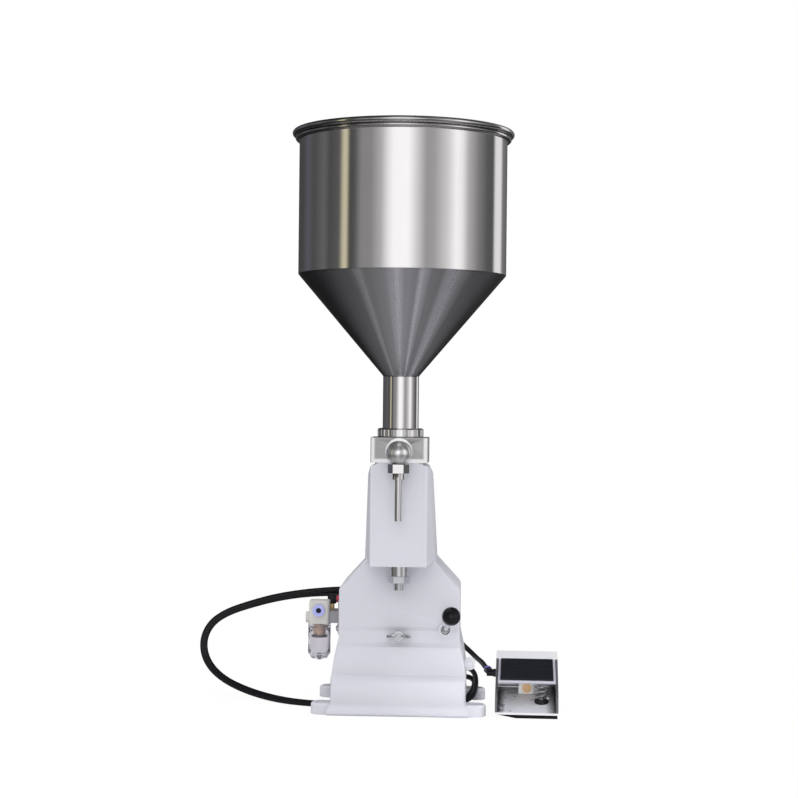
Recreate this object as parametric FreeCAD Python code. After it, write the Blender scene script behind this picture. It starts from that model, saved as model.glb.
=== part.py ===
"""Pneumatic filling machine with a hopper, a vertical metering cylinder and a foot pedal.

The frame has X to the machine's left-right, Y to the back and Z up, in millimetres.
The origin is the centre of the four foot bolts on the bench.
"""
import FreeCAD, Part
import math
import os

V = FreeCAD.Vector
UP = V(0, 0, 1)
FRONT = V(0, -1, 0)
RIGHT = V(1, 0, 0)

# Clearances
running_gap = 0.05
seat_gap = 0.1
loose_gap = 0.3

# Head: column, valve block and hopper share one upright axis
head_y = -70.0
column_foot_z = 169.0
column_height = 114.0
column_front_half = 31.0
column_side_half = 42.0
column_top_half = 35.8
column_foot_half = 40.6
column_reach = 33.0
column_depth = 83.0
column_corner = 14.0
column_floor = 7.0
core_wall = 7.0
core_half = 28.0
block_half = 31.5
block_height = 27.5
block_screw_x = 24.0
block_screw_y = 25.5
block_screw_radius = 2.5
block_screw_head = 4.2
block_screw_head_height = 5.2
block_screw_depth = 14.0

# Hopper
hopper_radius = 115.6
hopper_wall = 1.5
hopper_height = 159.5
cone_height = 112.0
neck_radius = 20.0
neck_length = 63.0
rim_bead = 4.6
rim_reach = hopper_radius + 7.8
lip_reach = hopper_radius + 3.4
lip_drop = 10.0
lip_height = 5.0
foot_flange_height = 2.0
foot_flange_reach = 21.2

# Ring nut that clamps the hopper on the valve block
spigot_radius = 22.0
spigot_height = 5.0
ring_nut_radius = 25.6
ring_nut_height = 8.0

# Valves inside the block
inlet_ball_radius = 9.0
inlet_throat = 7.0
inlet_travel = 3.5
chamber_radius = 13.0
chamber_height = 17.0
outlet_ball_radius = 5.5
outlet_throat = 4.0
outlet_travel = 3.0
outlet_cavity = 7.0
outlet_lift = 10.7
outlet_seat_depth = 11.0
inlet_spring_radius = 5.0
inlet_spring_wire = 0.7
outlet_spring_radius = 4.2
outlet_spring_wire = 0.55
wire_sides = 8

# Outlet nose, nut and nozzle
nose_radius = 13.8
nose_reach = 11.5
nose_end = 4.0
nose_spigot = 8.5
nose_spigot_depth = 9.0
nose_flange_radius = 14.8
nose_flange = 3.0
nose_flange_rise = 1.5
nozzle_radius = 4.0
nozzle_bore = 2.75
nozzle_length = 54.0
nozzle_grip = 45.0
nozzle_shank = 4.6
nozzle_flange = 6.5
nozzle_nut_flats = 20.6
nozzle_nut_height = 10.0
nozzle_collar_radius = 7.1
nozzle_collar_height = 6.7
stub_radius = 6.8

# Metering cylinder and air cylinder on the same axis
liner_radius = 25.0
liner_bore = 21.0
partition_height = 8.0
piston_height = 12.0
air_piston_height = 10.0
air_bore = 24.0
rod_radius = 5.0
stroke = 28.0
seal_radius = 0.9
rod_end_radius = 3.5
cage_reach = 22.8
cage_height = 4.0
cage_depth = 12.0

# Stroke adjusting screw below the column
cap_radius = 10.2
cap_height = 13.0
cap_spigot = 8.0
lock_nut_flats = 21.6
lock_nut_height = 7.7
screw_radius = 5.8
screw_end = 8.0
screw_gap = 0.4

# Body casting
wall = 6.0
neck_half = 37.5
shoulder_top_z = 174.0
shoulder_foot_z = 140.0
body_half = 68.0
flare_top_z = 84.0
flare_mid_z = 64.0
flare_mid_half = 72.3
ledge_z = 41.0
skirt_half = 75.5
skirt_foot_z = 14.0
toe_half = 79.0
toe_z = 5.0
body_front = -56.0
band_top_z = 98.0
band_foot_z = 77.0
band_depth = 3.0
lower_front = -61.5
skirt_front = -71.5
toe_front = -77.0
shoulder_back = 40.0
skirt_back = 74.0
toe_back = 77.0

# Feet
foot_bolt_x = 170.0
foot_bolt_y = 116.0
foot_bolt_radius = 4.5
ear_radius = 13.0
ear_height = 13.0
ear_recess_radius = 8.5
ear_recess = 4.0
arch_front = -45.0
arch_back = 35.0
arch_height = 15.0

# Covers and pan screws
rear_opening_half = 36.0
rear_opening_height = 40.0
rear_opening_down = 100.0
cover_lap = 9.0
cover_sheet = 2.0
screw_head_radius = 3.6
screw_head_height = 2.4
screw_shank_radius = 2.0
screw_shank = 7.0
bottom_cover_z = 16.0
bottom_cover_gap = 1.0
post_radius = 6.0
post_height = 16.0

# Clamp screw and wing nut on the front face
clamp_z = 88.0
clamp_stud_radius = 3.0
clamp_stud_length = 17.0
wing_span = 27.0
wing_hub_radius = 5.6
wing_thickness = 2.6

# Hand lever valve
lever_x = body_half - 16.0
lever_z = 95.0
lever_pivot_reach = 3.0
lever_radius = 2.6
lever_ball = 4.6
lever_pin_radius = 1.2
lever_pin_half = 6.2
knob_centre = V(lever_x + 6.7, body_front - 29.0, lever_z + 18.6)
knob_radius = 10.4
bush_radius = 8.0
bush_reach = 5.0
hand_valve_half = 8.5
hand_valve_height = 30.0
hand_valve_depth = 30.0
hand_port_radius = 3.0

# Main air valve inside the body
air_valve_width = 64.0
air_valve_height = 34.0
air_valve_depth = 22.0
air_cap_length = 8.0
air_valve_z = 121.0

# Silencer on the right wall
silencer_y = -20.0
silencer_x = body_half + 11.1
silencer_z = 52.2
silencer_radius = 6.8
silencer_length = 12.0
silencer_neck = 3.2

# Air filter on the left wall
filter_x = -(body_half + 24.0)
filter_y = -25.0
filter_head_half = 11.4
filter_head_top = 123.0
filter_head_foot = 96.0
filter_inlet_z = 112.4
bowl_radius = 12.7
bowl_foot_z = 57.0
bowl_wall = 1.6
bowl_neck = 10.5
bowl_neck_height = 5.0
element_radius = 7.0
element_height = 12.0
baffle_radius = 9.0
baffle_height = 3.2
drain_radius = 3.4
drain_stem = 1.8
drain_travel = 2.0
bracket_sheet = 2.0
bracket_half = 14.0
bracket_foot_z = 86.0
bracket_top_z = 124.0
bracket_screw_z = 92.0
arm_foot_z = 97.5
arm_top_z = 111.0
lift_x = -(body_half + 11.5)
lift_y = -8.0
nipple_flats = 5.4
filter_elbow_foot = 117.4
filter_elbow_height = 11.3
filter_elbow_radius = 5.0
filter_arm_z = 122.6
filter_arm_end = -(body_half + 6.3)
red_collet_end = -(body_half + 2.2)
outlet_tube_end = 8.0 - body_half
tube_radius = 3.0
collet_radius = 4.6
collet_reach = 1.6
fitting_radius = 6.6
fitting_reach = 5.0
hose_bore_depth = 14.0

# Elbow fittings for the hoses
elbow_radius = 5.4
low_hub = 21.0
high_hub = 16.0
elbow_arm = 14.0
elbow_stem = 3.8
low_elbow_x = 40.0
low_elbow_z = (34.0, 22.0)
high_elbow_x = 18.0
high_elbow_z = 117.0
clip_x = -48.0
clip_width = 9.0
clip_down = 55.8
clip_half = 9.0
clip_reach = 16.5
clip_foot = 3.0
clip_screw_down = 41.5

# Foot pedal, in its own frame: x across, y to the back, from the middle of its front edge
pedal_x = 143.2
pedal_y = -72.5
pedal_yaw = -1.5
pedal_elbow_y = 61.0
pedal_elbow_z = 41.0
pedal_elbow_hub = 10.5
pedal_elbow_arm = V(-0.3014, 0.9446, 0.1306)
pedal_width = 70.5
pedal_depth = 113.0
pedal_wall = 2.6
pad_height = 4.0
pad_cut_back = 24.0
deck_front_z = 8.5
deck_bend = 50.0
deck_level_z = 18.5
deck_sheet = 2.6
hood_front = 80.0
hood_top_z = 59.5
hood_front_z = 55.0
hood_sheet = 2.6
side_front_z = 24.0
side_rise = 4.0
tread_front = 6.0
tread_back = 79.4
tread_gap = 0.45
tread_front_z = 40.5
tread_slope = 10.8
tread_sheet = 3.6
tread_lip = 4.2
tread_swing = 8.0
mat_half = 29.6
mat_front = 8.5
mat_back = 76.0
mat_height = 2.0
hinge_y = 90.0
hinge_drop = 9.0
hinge_radius = 2.5
lug_sheet = 4.0
spring_y = 27.0
spring_x = 16.6
spring_radius = 7.0
spring_wire = 1.1
spring_foot_z = 17.5
spring_top_z = 39.5
spring_turns = 4
seat_radius = 7.9
valve_front = 56.0
valve_left = -9.4
valve_right = 13.3
valve_length = 30.0
valve_height = 12.9
valve_cap_width = 16.1
valve_cap = 3.0
spool_x = 0.2
spool_lift = 6.7
spool_radius = 5.4
spool_reach = 1.4
plunger_x = 2.0
plunger_y = 74.0
plunger_foot_z = 25.2
plunger_top_z = 49.2
plunger_radius = 2.4
plunger_travel = 2.6
cross_pin_radius = 1.6
cross_pin_y = 62.0
cross_pin_z = 25.7
lug_x = 27.5
lug_front = 66.0
lug_back = 95.0
lug_foot_z = 43.0
lug_top_z = 51.6
deck_slots = [(-13.6, 44), (-24, 39), (-29, 25), (-26, 18), (-18.5, 5.5), (5.6, 34), (28, 11)]
slot_length = 4.0
slot_width = 1.4
corner_screw = (-29.0, 8.5)

# Hoses: points of each route, chosen by hand
hose_radius = 3.0
pedal_hose_route = [
    (47, 89.6, 34), (62.2, 89.6, 34), (75.5, 84.1, 34), (85.7, 73.9, 33), (91.2, 60.6, 30.5), (91.2, 46.2, 26),
    (89.5, 29.5, 18.8), (84, 12.5, 10.6), (73.5, -2.5, 5.6), (57.5, -13.8, 3.8), (34, -20.5, 3.4),
    (0, -23, 3.4), (-40, -25, 3.4), (-78, -25.2, 3.4), (-110, -18, 3.4), (-139, -2.5, 3.5),
    (-166, 19.5, 5.2), (-190, 37, 9.6), (-213, 49.5, 18.5), (-230, 57, 31.5), (-239, 62, 48),
    (-239.5, 65.5, 67), (-230.5, 68, 84.5), (-212.5, 69.5, 97), (-188, 70, 106), (-154, 70, 116),
    (-118, 68, 122.3), (-84, 65.8, 125.8), (-63, 64.3, 126.6), (-33, 64.2, 126.1), (-12, 71, 123),
    (8, 77.5, 115), (27, 82, 103), (43, 84.5, 88), (57.5, 84.7, 73.5), (71.5, 79.5, 63), (82, 69.5, 56.5),
    (88, 56, 52.8), (91, 41, 50.3), (94.2, 26, 47.4), (97.8, 10.3, 43.9), (102.4, -4.0, 41.9),
]
return_hose_route = [
    (47, 89.6, 22), (62.2, 89.6, 22), (75.5, 84.1, 22), (85.7, 73.9, 21.8), (91.3, 60.5, 21), (91, 46.2, 18.4),
    (86, 29.8, 11.7), (77.5, 13.4, 6.1), (65.5, -0.8, 3.8), (49.8, -10.4, 3.4), (28, -14.4, 3.4), (-2, -16, 3.4),
    (-40, -18.3, 3.4), (-76, -18.5, 3.4), (-106, -11.5, 3.4), (-133.5, 3.2, 3.5), (-160, 25, 5.2),
    (-184.3, 43.3, 9.6), (-207, 56.5, 18.5), (-223.5, 64, 31.5), (-232, 69, 47.5), (-232.6, 72.5, 66),
    (-224, 74.5, 82), (-207, 75.5, 93.3), (-183.5, 75.5, 101.8), (-151, 73.8, 110.5), (-116, 71, 116.2),
    (-84, 67.6, 119), (-63, 65.6, 119.8), (-33, 65.3, 118.7), (-14, 65.5, 117), (11, 65.5, 117),
]

# Places that follow from the sizes above
column_top_z = column_foot_z + column_height
block_top_z = column_top_z + block_height
spigot_top_z = block_top_z + spigot_height
hopper_foot_z = spigot_top_z
cone_foot_z = hopper_foot_z + neck_length
cone_top_z = cone_foot_z + cone_height
hopper_top_z = cone_top_z + hopper_height
column_front = head_y - column_reach
column_back = column_front + column_depth
outlet_z = column_top_z + outlet_lift
outlet_seat_y = column_front + outlet_seat_depth
nose_y = column_front - nose_reach
nozzle_top_z = outlet_z - nose_radius - 7.9
cylinder_foot_z = column_foot_z + column_floor
air_piston_z = cylinder_foot_z + 2.0
partition_z = air_piston_z + air_piston_height + stroke + 2.0
liner_foot_z = partition_z + partition_height
piston_z = liner_foot_z + 2.0
filter_head_x = filter_x + filter_head_half
chamber_top_z = column_top_z + chamber_height
inlet_ball_z = chamber_top_z - math.sqrt(inlet_ball_radius ** 2 - inlet_throat ** 2) - running_gap
outlet_ball_y = outlet_seat_y - math.sqrt(outlet_ball_radius ** 2 - outlet_throat ** 2) - running_gap
tread_half = pedal_width / 2 - pedal_wall - tread_gap
hinge_z = tread_front_z + (hinge_y - tread_front) * math.tan(math.radians(tread_slope)) - hinge_drop
wall_slope = math.atan2(skirt_back - shoulder_back, shoulder_top_z - ledge_z)
HEAD = V(0, head_y, 0)


def box(x0, x1, y0, y1, z0, z1):
    return Part.makeBox(x1 - x0, y1 - y0, z1 - z0, V(x0, y0, z0))


def rod(radius, start, end):
    line = end.sub(start)
    return Part.makeCylinder(radius, line.Length, start, line)


def pipe(outer, inner, start, end):
    return rod(outer, start, end).cut(rod(inner, start, end))


def prism(points, along):
    face = Part.Face(Part.makePolygon(points + points[:1]))
    return face.extrude(along)


def mirrored(half):
    """Closed outline from its right half, given as (x, height) from the top down."""
    return half + [(-x, z) for x, z in reversed(half)]


def turned(profile, at, axis=UP):
    """Solid of revolution from (radius, height) points, set on a place along an axis."""
    points = [V(radius, 0, height) for radius, height in profile]
    face = Part.Face(Part.makePolygon(points + points[:1]))
    solid = face.revolve(V(0, 0, 0), UP, 360)
    solid.Placement = FreeCAD.Placement(at, FreeCAD.Rotation(UP, axis))
    return solid


def hexagon(flats, at, height, axis=UP):
    reach = flats / math.sqrt(3.0)
    points = [V(reach * math.cos(math.radians(60 * i)), reach * math.sin(math.radians(60 * i)), 0)
              for i in range(6)]
    solid = prism(points, V(0, 0, height))
    solid.Placement = FreeCAD.Placement(at, FreeCAD.Rotation(UP, axis))
    return solid


def joined(*shapes):
    return shapes[0].multiFuse(list(shapes[1:])).removeSplitter()


def group(shapes):
    return Part.makeCompound(list(shapes))


def rounded(shape, radius, pick):
    return shape.makeFillet(radius, [edge for edge in shape.Edges if pick(edge)])


def upright(edge):
    """Straight upright edges, for rounding the corners of a block."""
    bounds = edge.BoundBox
    return bounds.ZLength > 1 and bounds.XLength < 0.01 and bounds.YLength < 0.01


def pan_screw(at, axis):
    """Pan-head screw whose head rests at a place and points along an axis."""
    head = turned([(0, 0), (screw_head_radius, 0), (screw_head_radius, screw_head_height * 0.5),
                   (screw_head_radius * 0.7, screw_head_height), (0, screw_head_height)], at, axis)
    cross = turned([(0, screw_head_height * 0.6), (1.1, screw_head_height * 0.6),
                    (1.1, screw_head_height + 1), (0, screw_head_height + 1)], at, axis)
    shank = rod(screw_shank_radius, at, at.sub(axis * screw_shank))
    return joined(head.cut(cross), shank)


def coil_spring(radius, wire, foot, height, turns, axis=UP):
    """Wire spring with eight-sided wire, standing on a place along an axis."""
    rise = height - 2 * wire
    helix = Part.makeHelix(rise / turns, rise, radius)
    helix.translate(V(0, 0, wire))
    corners = []
    for k in range(wire_sides):
        turn = 2 * math.pi * (k + 0.5) / wire_sides
        corners.append(V(radius + wire * math.cos(turn), 0, wire + wire * math.sin(turn)))
    section = Part.makePolygon(corners + corners[:1])
    spring = Part.Wire(helix.Edges).makePipeShell([section], True, True)
    spring.Placement = FreeCAD.Placement(foot, FreeCAD.Rotation(UP, axis))
    return spring


def elbow(at, normal, arm_direction, hub, stem_length):
    """Push-in elbow: a hub on the wall and an arm that takes the hose. Returns body and collet."""
    centre = at.add(normal * (hub - elbow_radius))
    boss = rod(elbow_radius, at, at.add(normal * hub))
    arm_end = centre.add(arm_direction * (elbow_arm - collet_reach))
    arm = rod(elbow_radius - 0.2, centre, arm_end)
    stem = rod(elbow_stem, at.sub(normal * (stem_length)), at)
    base = hexagon(elbow_radius * 2.1, at, 3.0, normal)
    bore = rod(tube_radius + running_gap, arm_end.sub(arm_direction * 6), arm_end)
    collet = pipe(collet_radius, tube_radius + running_gap, arm_end, arm_end.add(arm_direction * collet_reach))
    return joined(boss, arm, stem, base).cut(bore), collet


def hose(route, radius):
    """Straight runs joined by tangent arcs, as large as the runs allow."""
    points = [V(*point) for point in route]
    edges = []
    here = points[0]
    tightest = 1e6
    for before, corner, after in zip(points, points[1:], points[2:]):
        run_in = corner.sub(before)
        run_out = after.sub(corner)
        turn = run_in.getAngle(run_out)
        reach = 0.45 * min(run_in.Length, run_out.Length)
        tightest = min(tightest, reach / math.tan(turn / 2))
        arc_start = corner.sub(V(run_in).normalize() * reach)
        arc_end = corner.add(V(run_out).normalize() * reach)
        chord_middle = (arc_start + arc_end) * 0.5
        bulge = reach / math.tan(turn / 2) * (1 / math.cos(turn / 2) - 1)
        middle = corner.add(V(chord_middle.sub(corner)).normalize() * bulge)
        edges.append(Part.LineSegment(here, arc_start).toShape())
        edges.append(Part.Arc(arc_start, middle, arc_end).toShape())
        here = arc_end
    edges.append(Part.LineSegment(here, points[-1]).toShape())
    path = Part.Wire(edges)
    section = Part.Wire(Part.makeCircle(radius, points[0], points[1].sub(points[0])))
    solid = path.makePipeShell([section], True, True)
    expected = math.pi * radius ** 2 * path.Length
    print("hose length %.0f, tightest radius %.1f, volume ratio %.4f"
          % (path.Length, tightest, solid.Volume / expected))
    return solid


def body_half_outline(inset):
    """Right half of the body seen from the front, from the top down."""
    top = shoulder_top_z - 1.45 * inset
    return [(neck_half - 0.4 * inset, top), (body_half - inset, shoulder_foot_z - 0.4 * inset),
            (body_half - inset, flare_top_z), (flare_mid_half - inset, flare_mid_z),
            (skirt_half - inset, ledge_z), (skirt_half - inset, skirt_foot_z),
            (toe_half - inset, toe_z), (toe_half - inset, 0)]


def body_side_outline(inset):
    """Body seen from its right side as (y, z): down the front and up the back."""
    top = shoulder_top_z - 1.45 * inset
    return [(body_front + inset, top), (body_front + inset, band_top_z),
            (body_front + band_depth + inset, band_top_z - 3), (body_front + band_depth + inset, band_foot_z + 3),
            (body_front - 1.5 + inset, band_foot_z), (lower_front + inset, ledge_z + 3),
            (skirt_front + inset, ledge_z - 1), (skirt_front - 1 + inset, skirt_foot_z),
            (toe_front + inset, toe_z), (toe_front + inset, 0), (toe_back - inset, 0),
            (toe_back - inset, toe_z), (skirt_back + 1 - inset, skirt_foot_z),
            (skirt_back - inset, ledge_z), (shoulder_back - inset, top)]


def body_block(inset):
    front = [V(x, toe_front - 5, z) for x, z in mirrored(body_half_outline(inset))]
    side = [V(-toe_half - 5, y, z) for y, z in body_side_outline(inset)]
    across = prism(side, V(2 * toe_half + 10, 0, 0))
    return prism(front, V(0, toe_back - toe_front + 10, 0)).common(across)


def column_block():
    """Arm of the casting that carries the valve block, seen from three sides."""
    c = column_corner
    foot = column_foot_z
    half = [(column_top_half - c, column_top_z), (column_top_half - 0.3 * c, column_top_z - 0.3 * c),
            (column_top_half, column_top_z - c), (column_foot_half, foot), (column_foot_half, foot - 20)]
    front = prism([V(x, column_front - 5, z) for x, z in mirrored(half)], V(0, toe_back - toe_front, 0))
    plan_points = [(column_front_half, column_front), (column_side_half, column_back), (column_side_half, shoulder_back)]
    plan = prism([V(x, y, foot - 30) for x, y in plan_points]
                 + [V(-x, y, foot - 30) for x, y in reversed(plan_points)], V(0, 0, column_top_z))
    side_points = [(column_front, foot), (column_front, column_top_z), (column_back - c, column_top_z),
                   (column_back, column_top_z - c), (shoulder_back - wall, shoulder_top_z - 8),
                   (shoulder_back - wall, foot - 15), (body_front + 1, foot - 15), (body_front + 1, foot)]
    side = prism([V(-body_half, y, z) for y, z in side_points], V(2 * body_half, 0, 0))
    block = front.common(plan).common(side)
    return rounded(block, 2.5, lambda e: upright_front(e))


def upright_front(edge):
    """The two long corners at the front of the column."""
    bounds = edge.BoundBox
    return bounds.YMax < column_front + 0.5 and bounds.ZLength > column_height * 0.5


def rear_frame(across, down, out):
    """Point on the sloping rear wall: across it, down from the shoulder, and out from it."""
    y = shoulder_back + down * math.sin(wall_slope) + out * math.cos(wall_slope)
    z = shoulder_top_z - down * math.cos(wall_slope) + out * math.sin(wall_slope)
    return V(across, y, z)


def rear_normal():
    return rear_frame(0, 0, 1).sub(rear_frame(0, 0, 0))


def rear_slab(half, down0, down1, out0, out1, across=0.0):
    """Flat slab that lies along the sloping rear wall."""
    face = [rear_frame(across - half, down0, out0), rear_frame(across + half, down0, out0),
            rear_frame(across + half, down1, out0), rear_frame(across - half, down1, out0)]
    return prism(face, rear_normal() * (out1 - out0))


def ear(side, end):
    """Foot ear with its bolt hole and the recess for the bolt head."""
    x = side * foot_bolt_x / 2
    y = end * foot_bolt_y / 2
    root = side * (skirt_half - wall + 1)
    lobe = rod(ear_radius, V(x, y, 0), V(x, y, ear_height))
    web = box(min(x, root), max(x, root), y - ear_radius, y + ear_radius, 0, ear_height)
    solid = joined(lobe, web)
    top_edges = [edge for edge in solid.Edges
                 if edge.BoundBox.ZMin > ear_height - 0.1 and side * edge.CenterOfMass.x > skirt_half + 2]
    return solid.makeFillet(3.0, top_edges)


def ear_hole(side, end):
    x = side * foot_bolt_x / 2
    y = end * foot_bolt_y / 2
    through = rod(foot_bolt_radius, V(x, y, -1), V(x, y, ear_height + 1))
    recess = rod(ear_recess_radius, V(x, y, ear_height - ear_recess), V(x, y, ear_height + 1))
    return joined(through, recess)


CORNERS = [(side, end) for side in (-1, 1) for end in (-1, 1)]
post_x = skirt_half - wall - post_radius
post_y = -lower_front - wall - post_radius


def make_body():
    outer = joined(body_block(0), column_block(), *[ear(side, end) for side, end in CORNERS])
    cavity = body_block(wall)
    core_front = head_y + liner_radius + core_wall
    core_top = column_top_z - column_corner - core_wall
    core = [(core_front, shoulder_top_z - 16), (core_front, core_top), (column_back - core_wall, core_top),
            (shoulder_back - 2 * wall, shoulder_top_z - 10), (shoulder_back - 2 * wall, shoulder_top_z - 16)]
    core = prism([V(-core_half, y, z) for y, z in core], V(2 * core_half, 0, 0))
    post_foot = bottom_cover_z + cover_sheet
    posts = []
    for side, end in CORNERS:
        x = side * post_x
        y = end * post_y
        root = side * (skirt_half - wall + 1)
        posts.append(rod(post_radius, V(x, y, post_foot), V(x, y, post_foot + post_height)))
        posts.append(box(min(x, root), max(x, root), y - 3, y + 3, post_foot, post_foot + post_height))
    casting = joined(outer.cut(cavity.fuse(core)), *posts)
    for cut in body_cuts():
        casting = casting.cut(cut)
    keep("body_casting", casting)


def body_cuts():
    """Everything that is machined into the casting."""
    post_foot = bottom_cover_z + cover_sheet
    cuts = [rod(air_bore, V(0, head_y, cylinder_foot_z), V(0, head_y, column_top_z + 1)),
            rod(liner_radius + seat_gap, V(0, head_y, partition_z), V(0, head_y, column_top_z + 1)),
            rod(cap_spigot + seat_gap, V(0, head_y, column_foot_z - 1), V(0, head_y, cylinder_foot_z + 1)),
            rear_slab(rear_opening_half, rear_opening_down - rear_opening_height / 2,
                      rear_opening_down + rear_opening_height / 2, -2 * wall, 2),
            rod(bush_radius - 2, V(lever_x, body_front - 1, lever_z), V(lever_x, body_front + wall + band_depth + 1, lever_z)),
            rod(clamp_stud_radius, V(0, body_front - 1, clamp_z), V(0, body_front + 2 * wall, clamp_z)),
            rod(silencer_neck, V(body_half - 2 * wall, silencer_y, silencer_z),
                V(toe_half + 5, silencer_y, silencer_z)),
            rod(silencer_radius + loose_gap, V(silencer_x, silencer_y - silencer_length / 2 - 1, silencer_z),
                V(silencer_x, silencer_y + silencer_length / 2 + 1, silencer_z)),
            box(-toe_half - 5, toe_half + 5, arch_front, arch_back, -1, arch_height)]
    cuts += [ear_hole(side, end) for side, end in CORNERS]
    cuts += [rod(screw_shank_radius, V(side * post_x, end * post_y, post_foot - 1),
                 V(side * post_x, end * post_y, post_foot + screw_shank + 1)) for side, end in CORNERS]
    cuts += [rod(screw_shank_radius, at.add(rear_normal() * 2), at.sub(rear_normal() * (wall + 3)))
             for at in rear_screw_places() + [clip_screw_place()]]
    cuts += [rod(elbow_radius + 2, V(low_elbow_x, skirt_back, z), V(low_elbow_x, skirt_back + 5, z))
             for z in low_elbow_z]
    cuts += [rod(elbow_stem, at.add(normal), at.sub(normal * (wall + 2))) for at, normal, arm, hub in machine_elbows()]
    cuts += [rod(screw_shank_radius, at.add(RIGHT * -3), at.add(RIGHT * (wall + 2))) for at in bracket_screw_places()]
    cuts += [rod(tube_radius + loose_gap, V(-toe_half, lift_y, filter_arm_z), V(wall - body_half + 2, lift_y, filter_arm_z))]
    cuts += [rod(block_screw_radius, V(x, y, column_top_z - block_screw_depth - 1), V(x, y, column_top_z + 1))
             for x, y in block_screw_places()]
    return cuts


def block_screw_places():
    return [(side * block_screw_x, head_y + end * block_screw_y) for side, end in CORNERS]


def rear_screw_places():
    across = rear_opening_half + cover_lap / 2
    down = rear_opening_height / 2 + cover_lap / 2
    return [rear_frame(side * across, rear_opening_down + end * down, cover_sheet) for side, end in CORNERS]


def clip_screw_place():
    return rear_frame(clip_x, clip_screw_down, clip_foot)


def bracket_screw_places():
    reach = bracket_half - 5
    return [V(-body_half - bracket_sheet, filter_y + end * reach, bracket_screw_z) for end in (-1, 1)]


def machine_elbows():
    """Hose elbows on the machine: place on the wall, outward normal, arm direction, hub length."""
    back = V(0, 1, 0)
    low = [(V(low_elbow_x, skirt_back, z), back, RIGHT, low_hub) for z in low_elbow_z]
    wall_z = high_elbow_z - (high_hub - elbow_radius) * math.sin(wall_slope)
    high = rear_frame(high_elbow_x, (shoulder_top_z - wall_z) / math.cos(wall_slope), 0)
    return low + [(high, rear_normal(), V(-1, 0, 0), high_hub)]


def make_covers():
    half = rear_opening_half + cover_lap
    reach = rear_opening_height / 2 + cover_lap
    rear = rear_slab(half, rear_opening_down - reach, rear_opening_down + reach, 0, cover_sheet)
    holes = [rod(screw_shank_radius, at.add(rear_normal()), at.sub(rear_normal() * 4)) for at in rear_screw_places()]
    inside = skirt_half - wall - bottom_cover_gap
    bottom = box(-inside, inside, lower_front + wall + bottom_cover_gap - 9, skirt_back - wall - bottom_cover_gap,
                 bottom_cover_z, bottom_cover_z + cover_sheet)
    bottom = rounded(bottom, 6.0, upright)
    under = [V(side * post_x, end * post_y, bottom_cover_z) for side, end in CORNERS]
    under_holes = [rod(screw_shank_radius, at.sub(UP), at.add(UP * 4)) for at in under]
    keep("rear_cover", rear.cut(group(holes)))
    keep("bottom_cover", bottom.cut(group(under_holes)))
    screws.extend(pan_screw(at, rear_normal()) for at in rear_screw_places() + [clip_screw_place()])
    screws.extend(pan_screw(at, UP * -1) for at in under)
    screws.extend(pan_screw(at, RIGHT * -1) for at in bracket_screw_places())


def make_hopper():
    inner = hopper_radius - hopper_wall
    neck_inner = neck_radius - hopper_wall
    rim_foot = hopper_top_z - 2 * rim_bead
    shell = [(neck_inner, hopper_foot_z), (foot_flange_reach, hopper_foot_z),
             (foot_flange_reach, hopper_foot_z + foot_flange_height),
             (neck_radius, hopper_foot_z + foot_flange_height), (neck_radius, cone_foot_z),
             (hopper_radius, cone_top_z), (hopper_radius, rim_foot - lip_drop),
             (lip_reach, rim_foot - lip_height - 1.5), (lip_reach, rim_foot - 1.5),
             (hopper_radius + 0.8, rim_foot), (hopper_radius + 0.8, hopper_top_z - rim_bead),
             (inner, hopper_top_z - rim_bead), (inner, cone_top_z + 0.6), (neck_inner, cone_foot_z + 0.6)]
    bead = Part.makeTorus(rim_reach - rim_bead, rim_bead, V(0, head_y, hopper_top_z - rim_bead))
    keep("hopper", joined(turned(shell, HEAD), bead))
    foot = block_top_z + 0.5
    top = foot + ring_nut_height + 1.5
    lip_z = hopper_foot_z + foot_flange_height
    nut = [(spigot_radius + running_gap, foot), (ring_nut_radius - 0.8, foot), (ring_nut_radius, foot + 0.8),
           (ring_nut_radius, foot + ring_nut_height - 0.8), (ring_nut_radius - 0.8, top),
           (neck_radius + loose_gap, top), (neck_radius + loose_gap, lip_z), (spigot_radius + running_gap, lip_z)]
    pin = rod(1.6, V(ring_nut_radius - 2, head_y, foot + 3.2), V(ring_nut_radius + 4.2, head_y, foot + 3.2))
    keep("ring_nut", joined(turned(nut, HEAD), pin))


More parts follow.
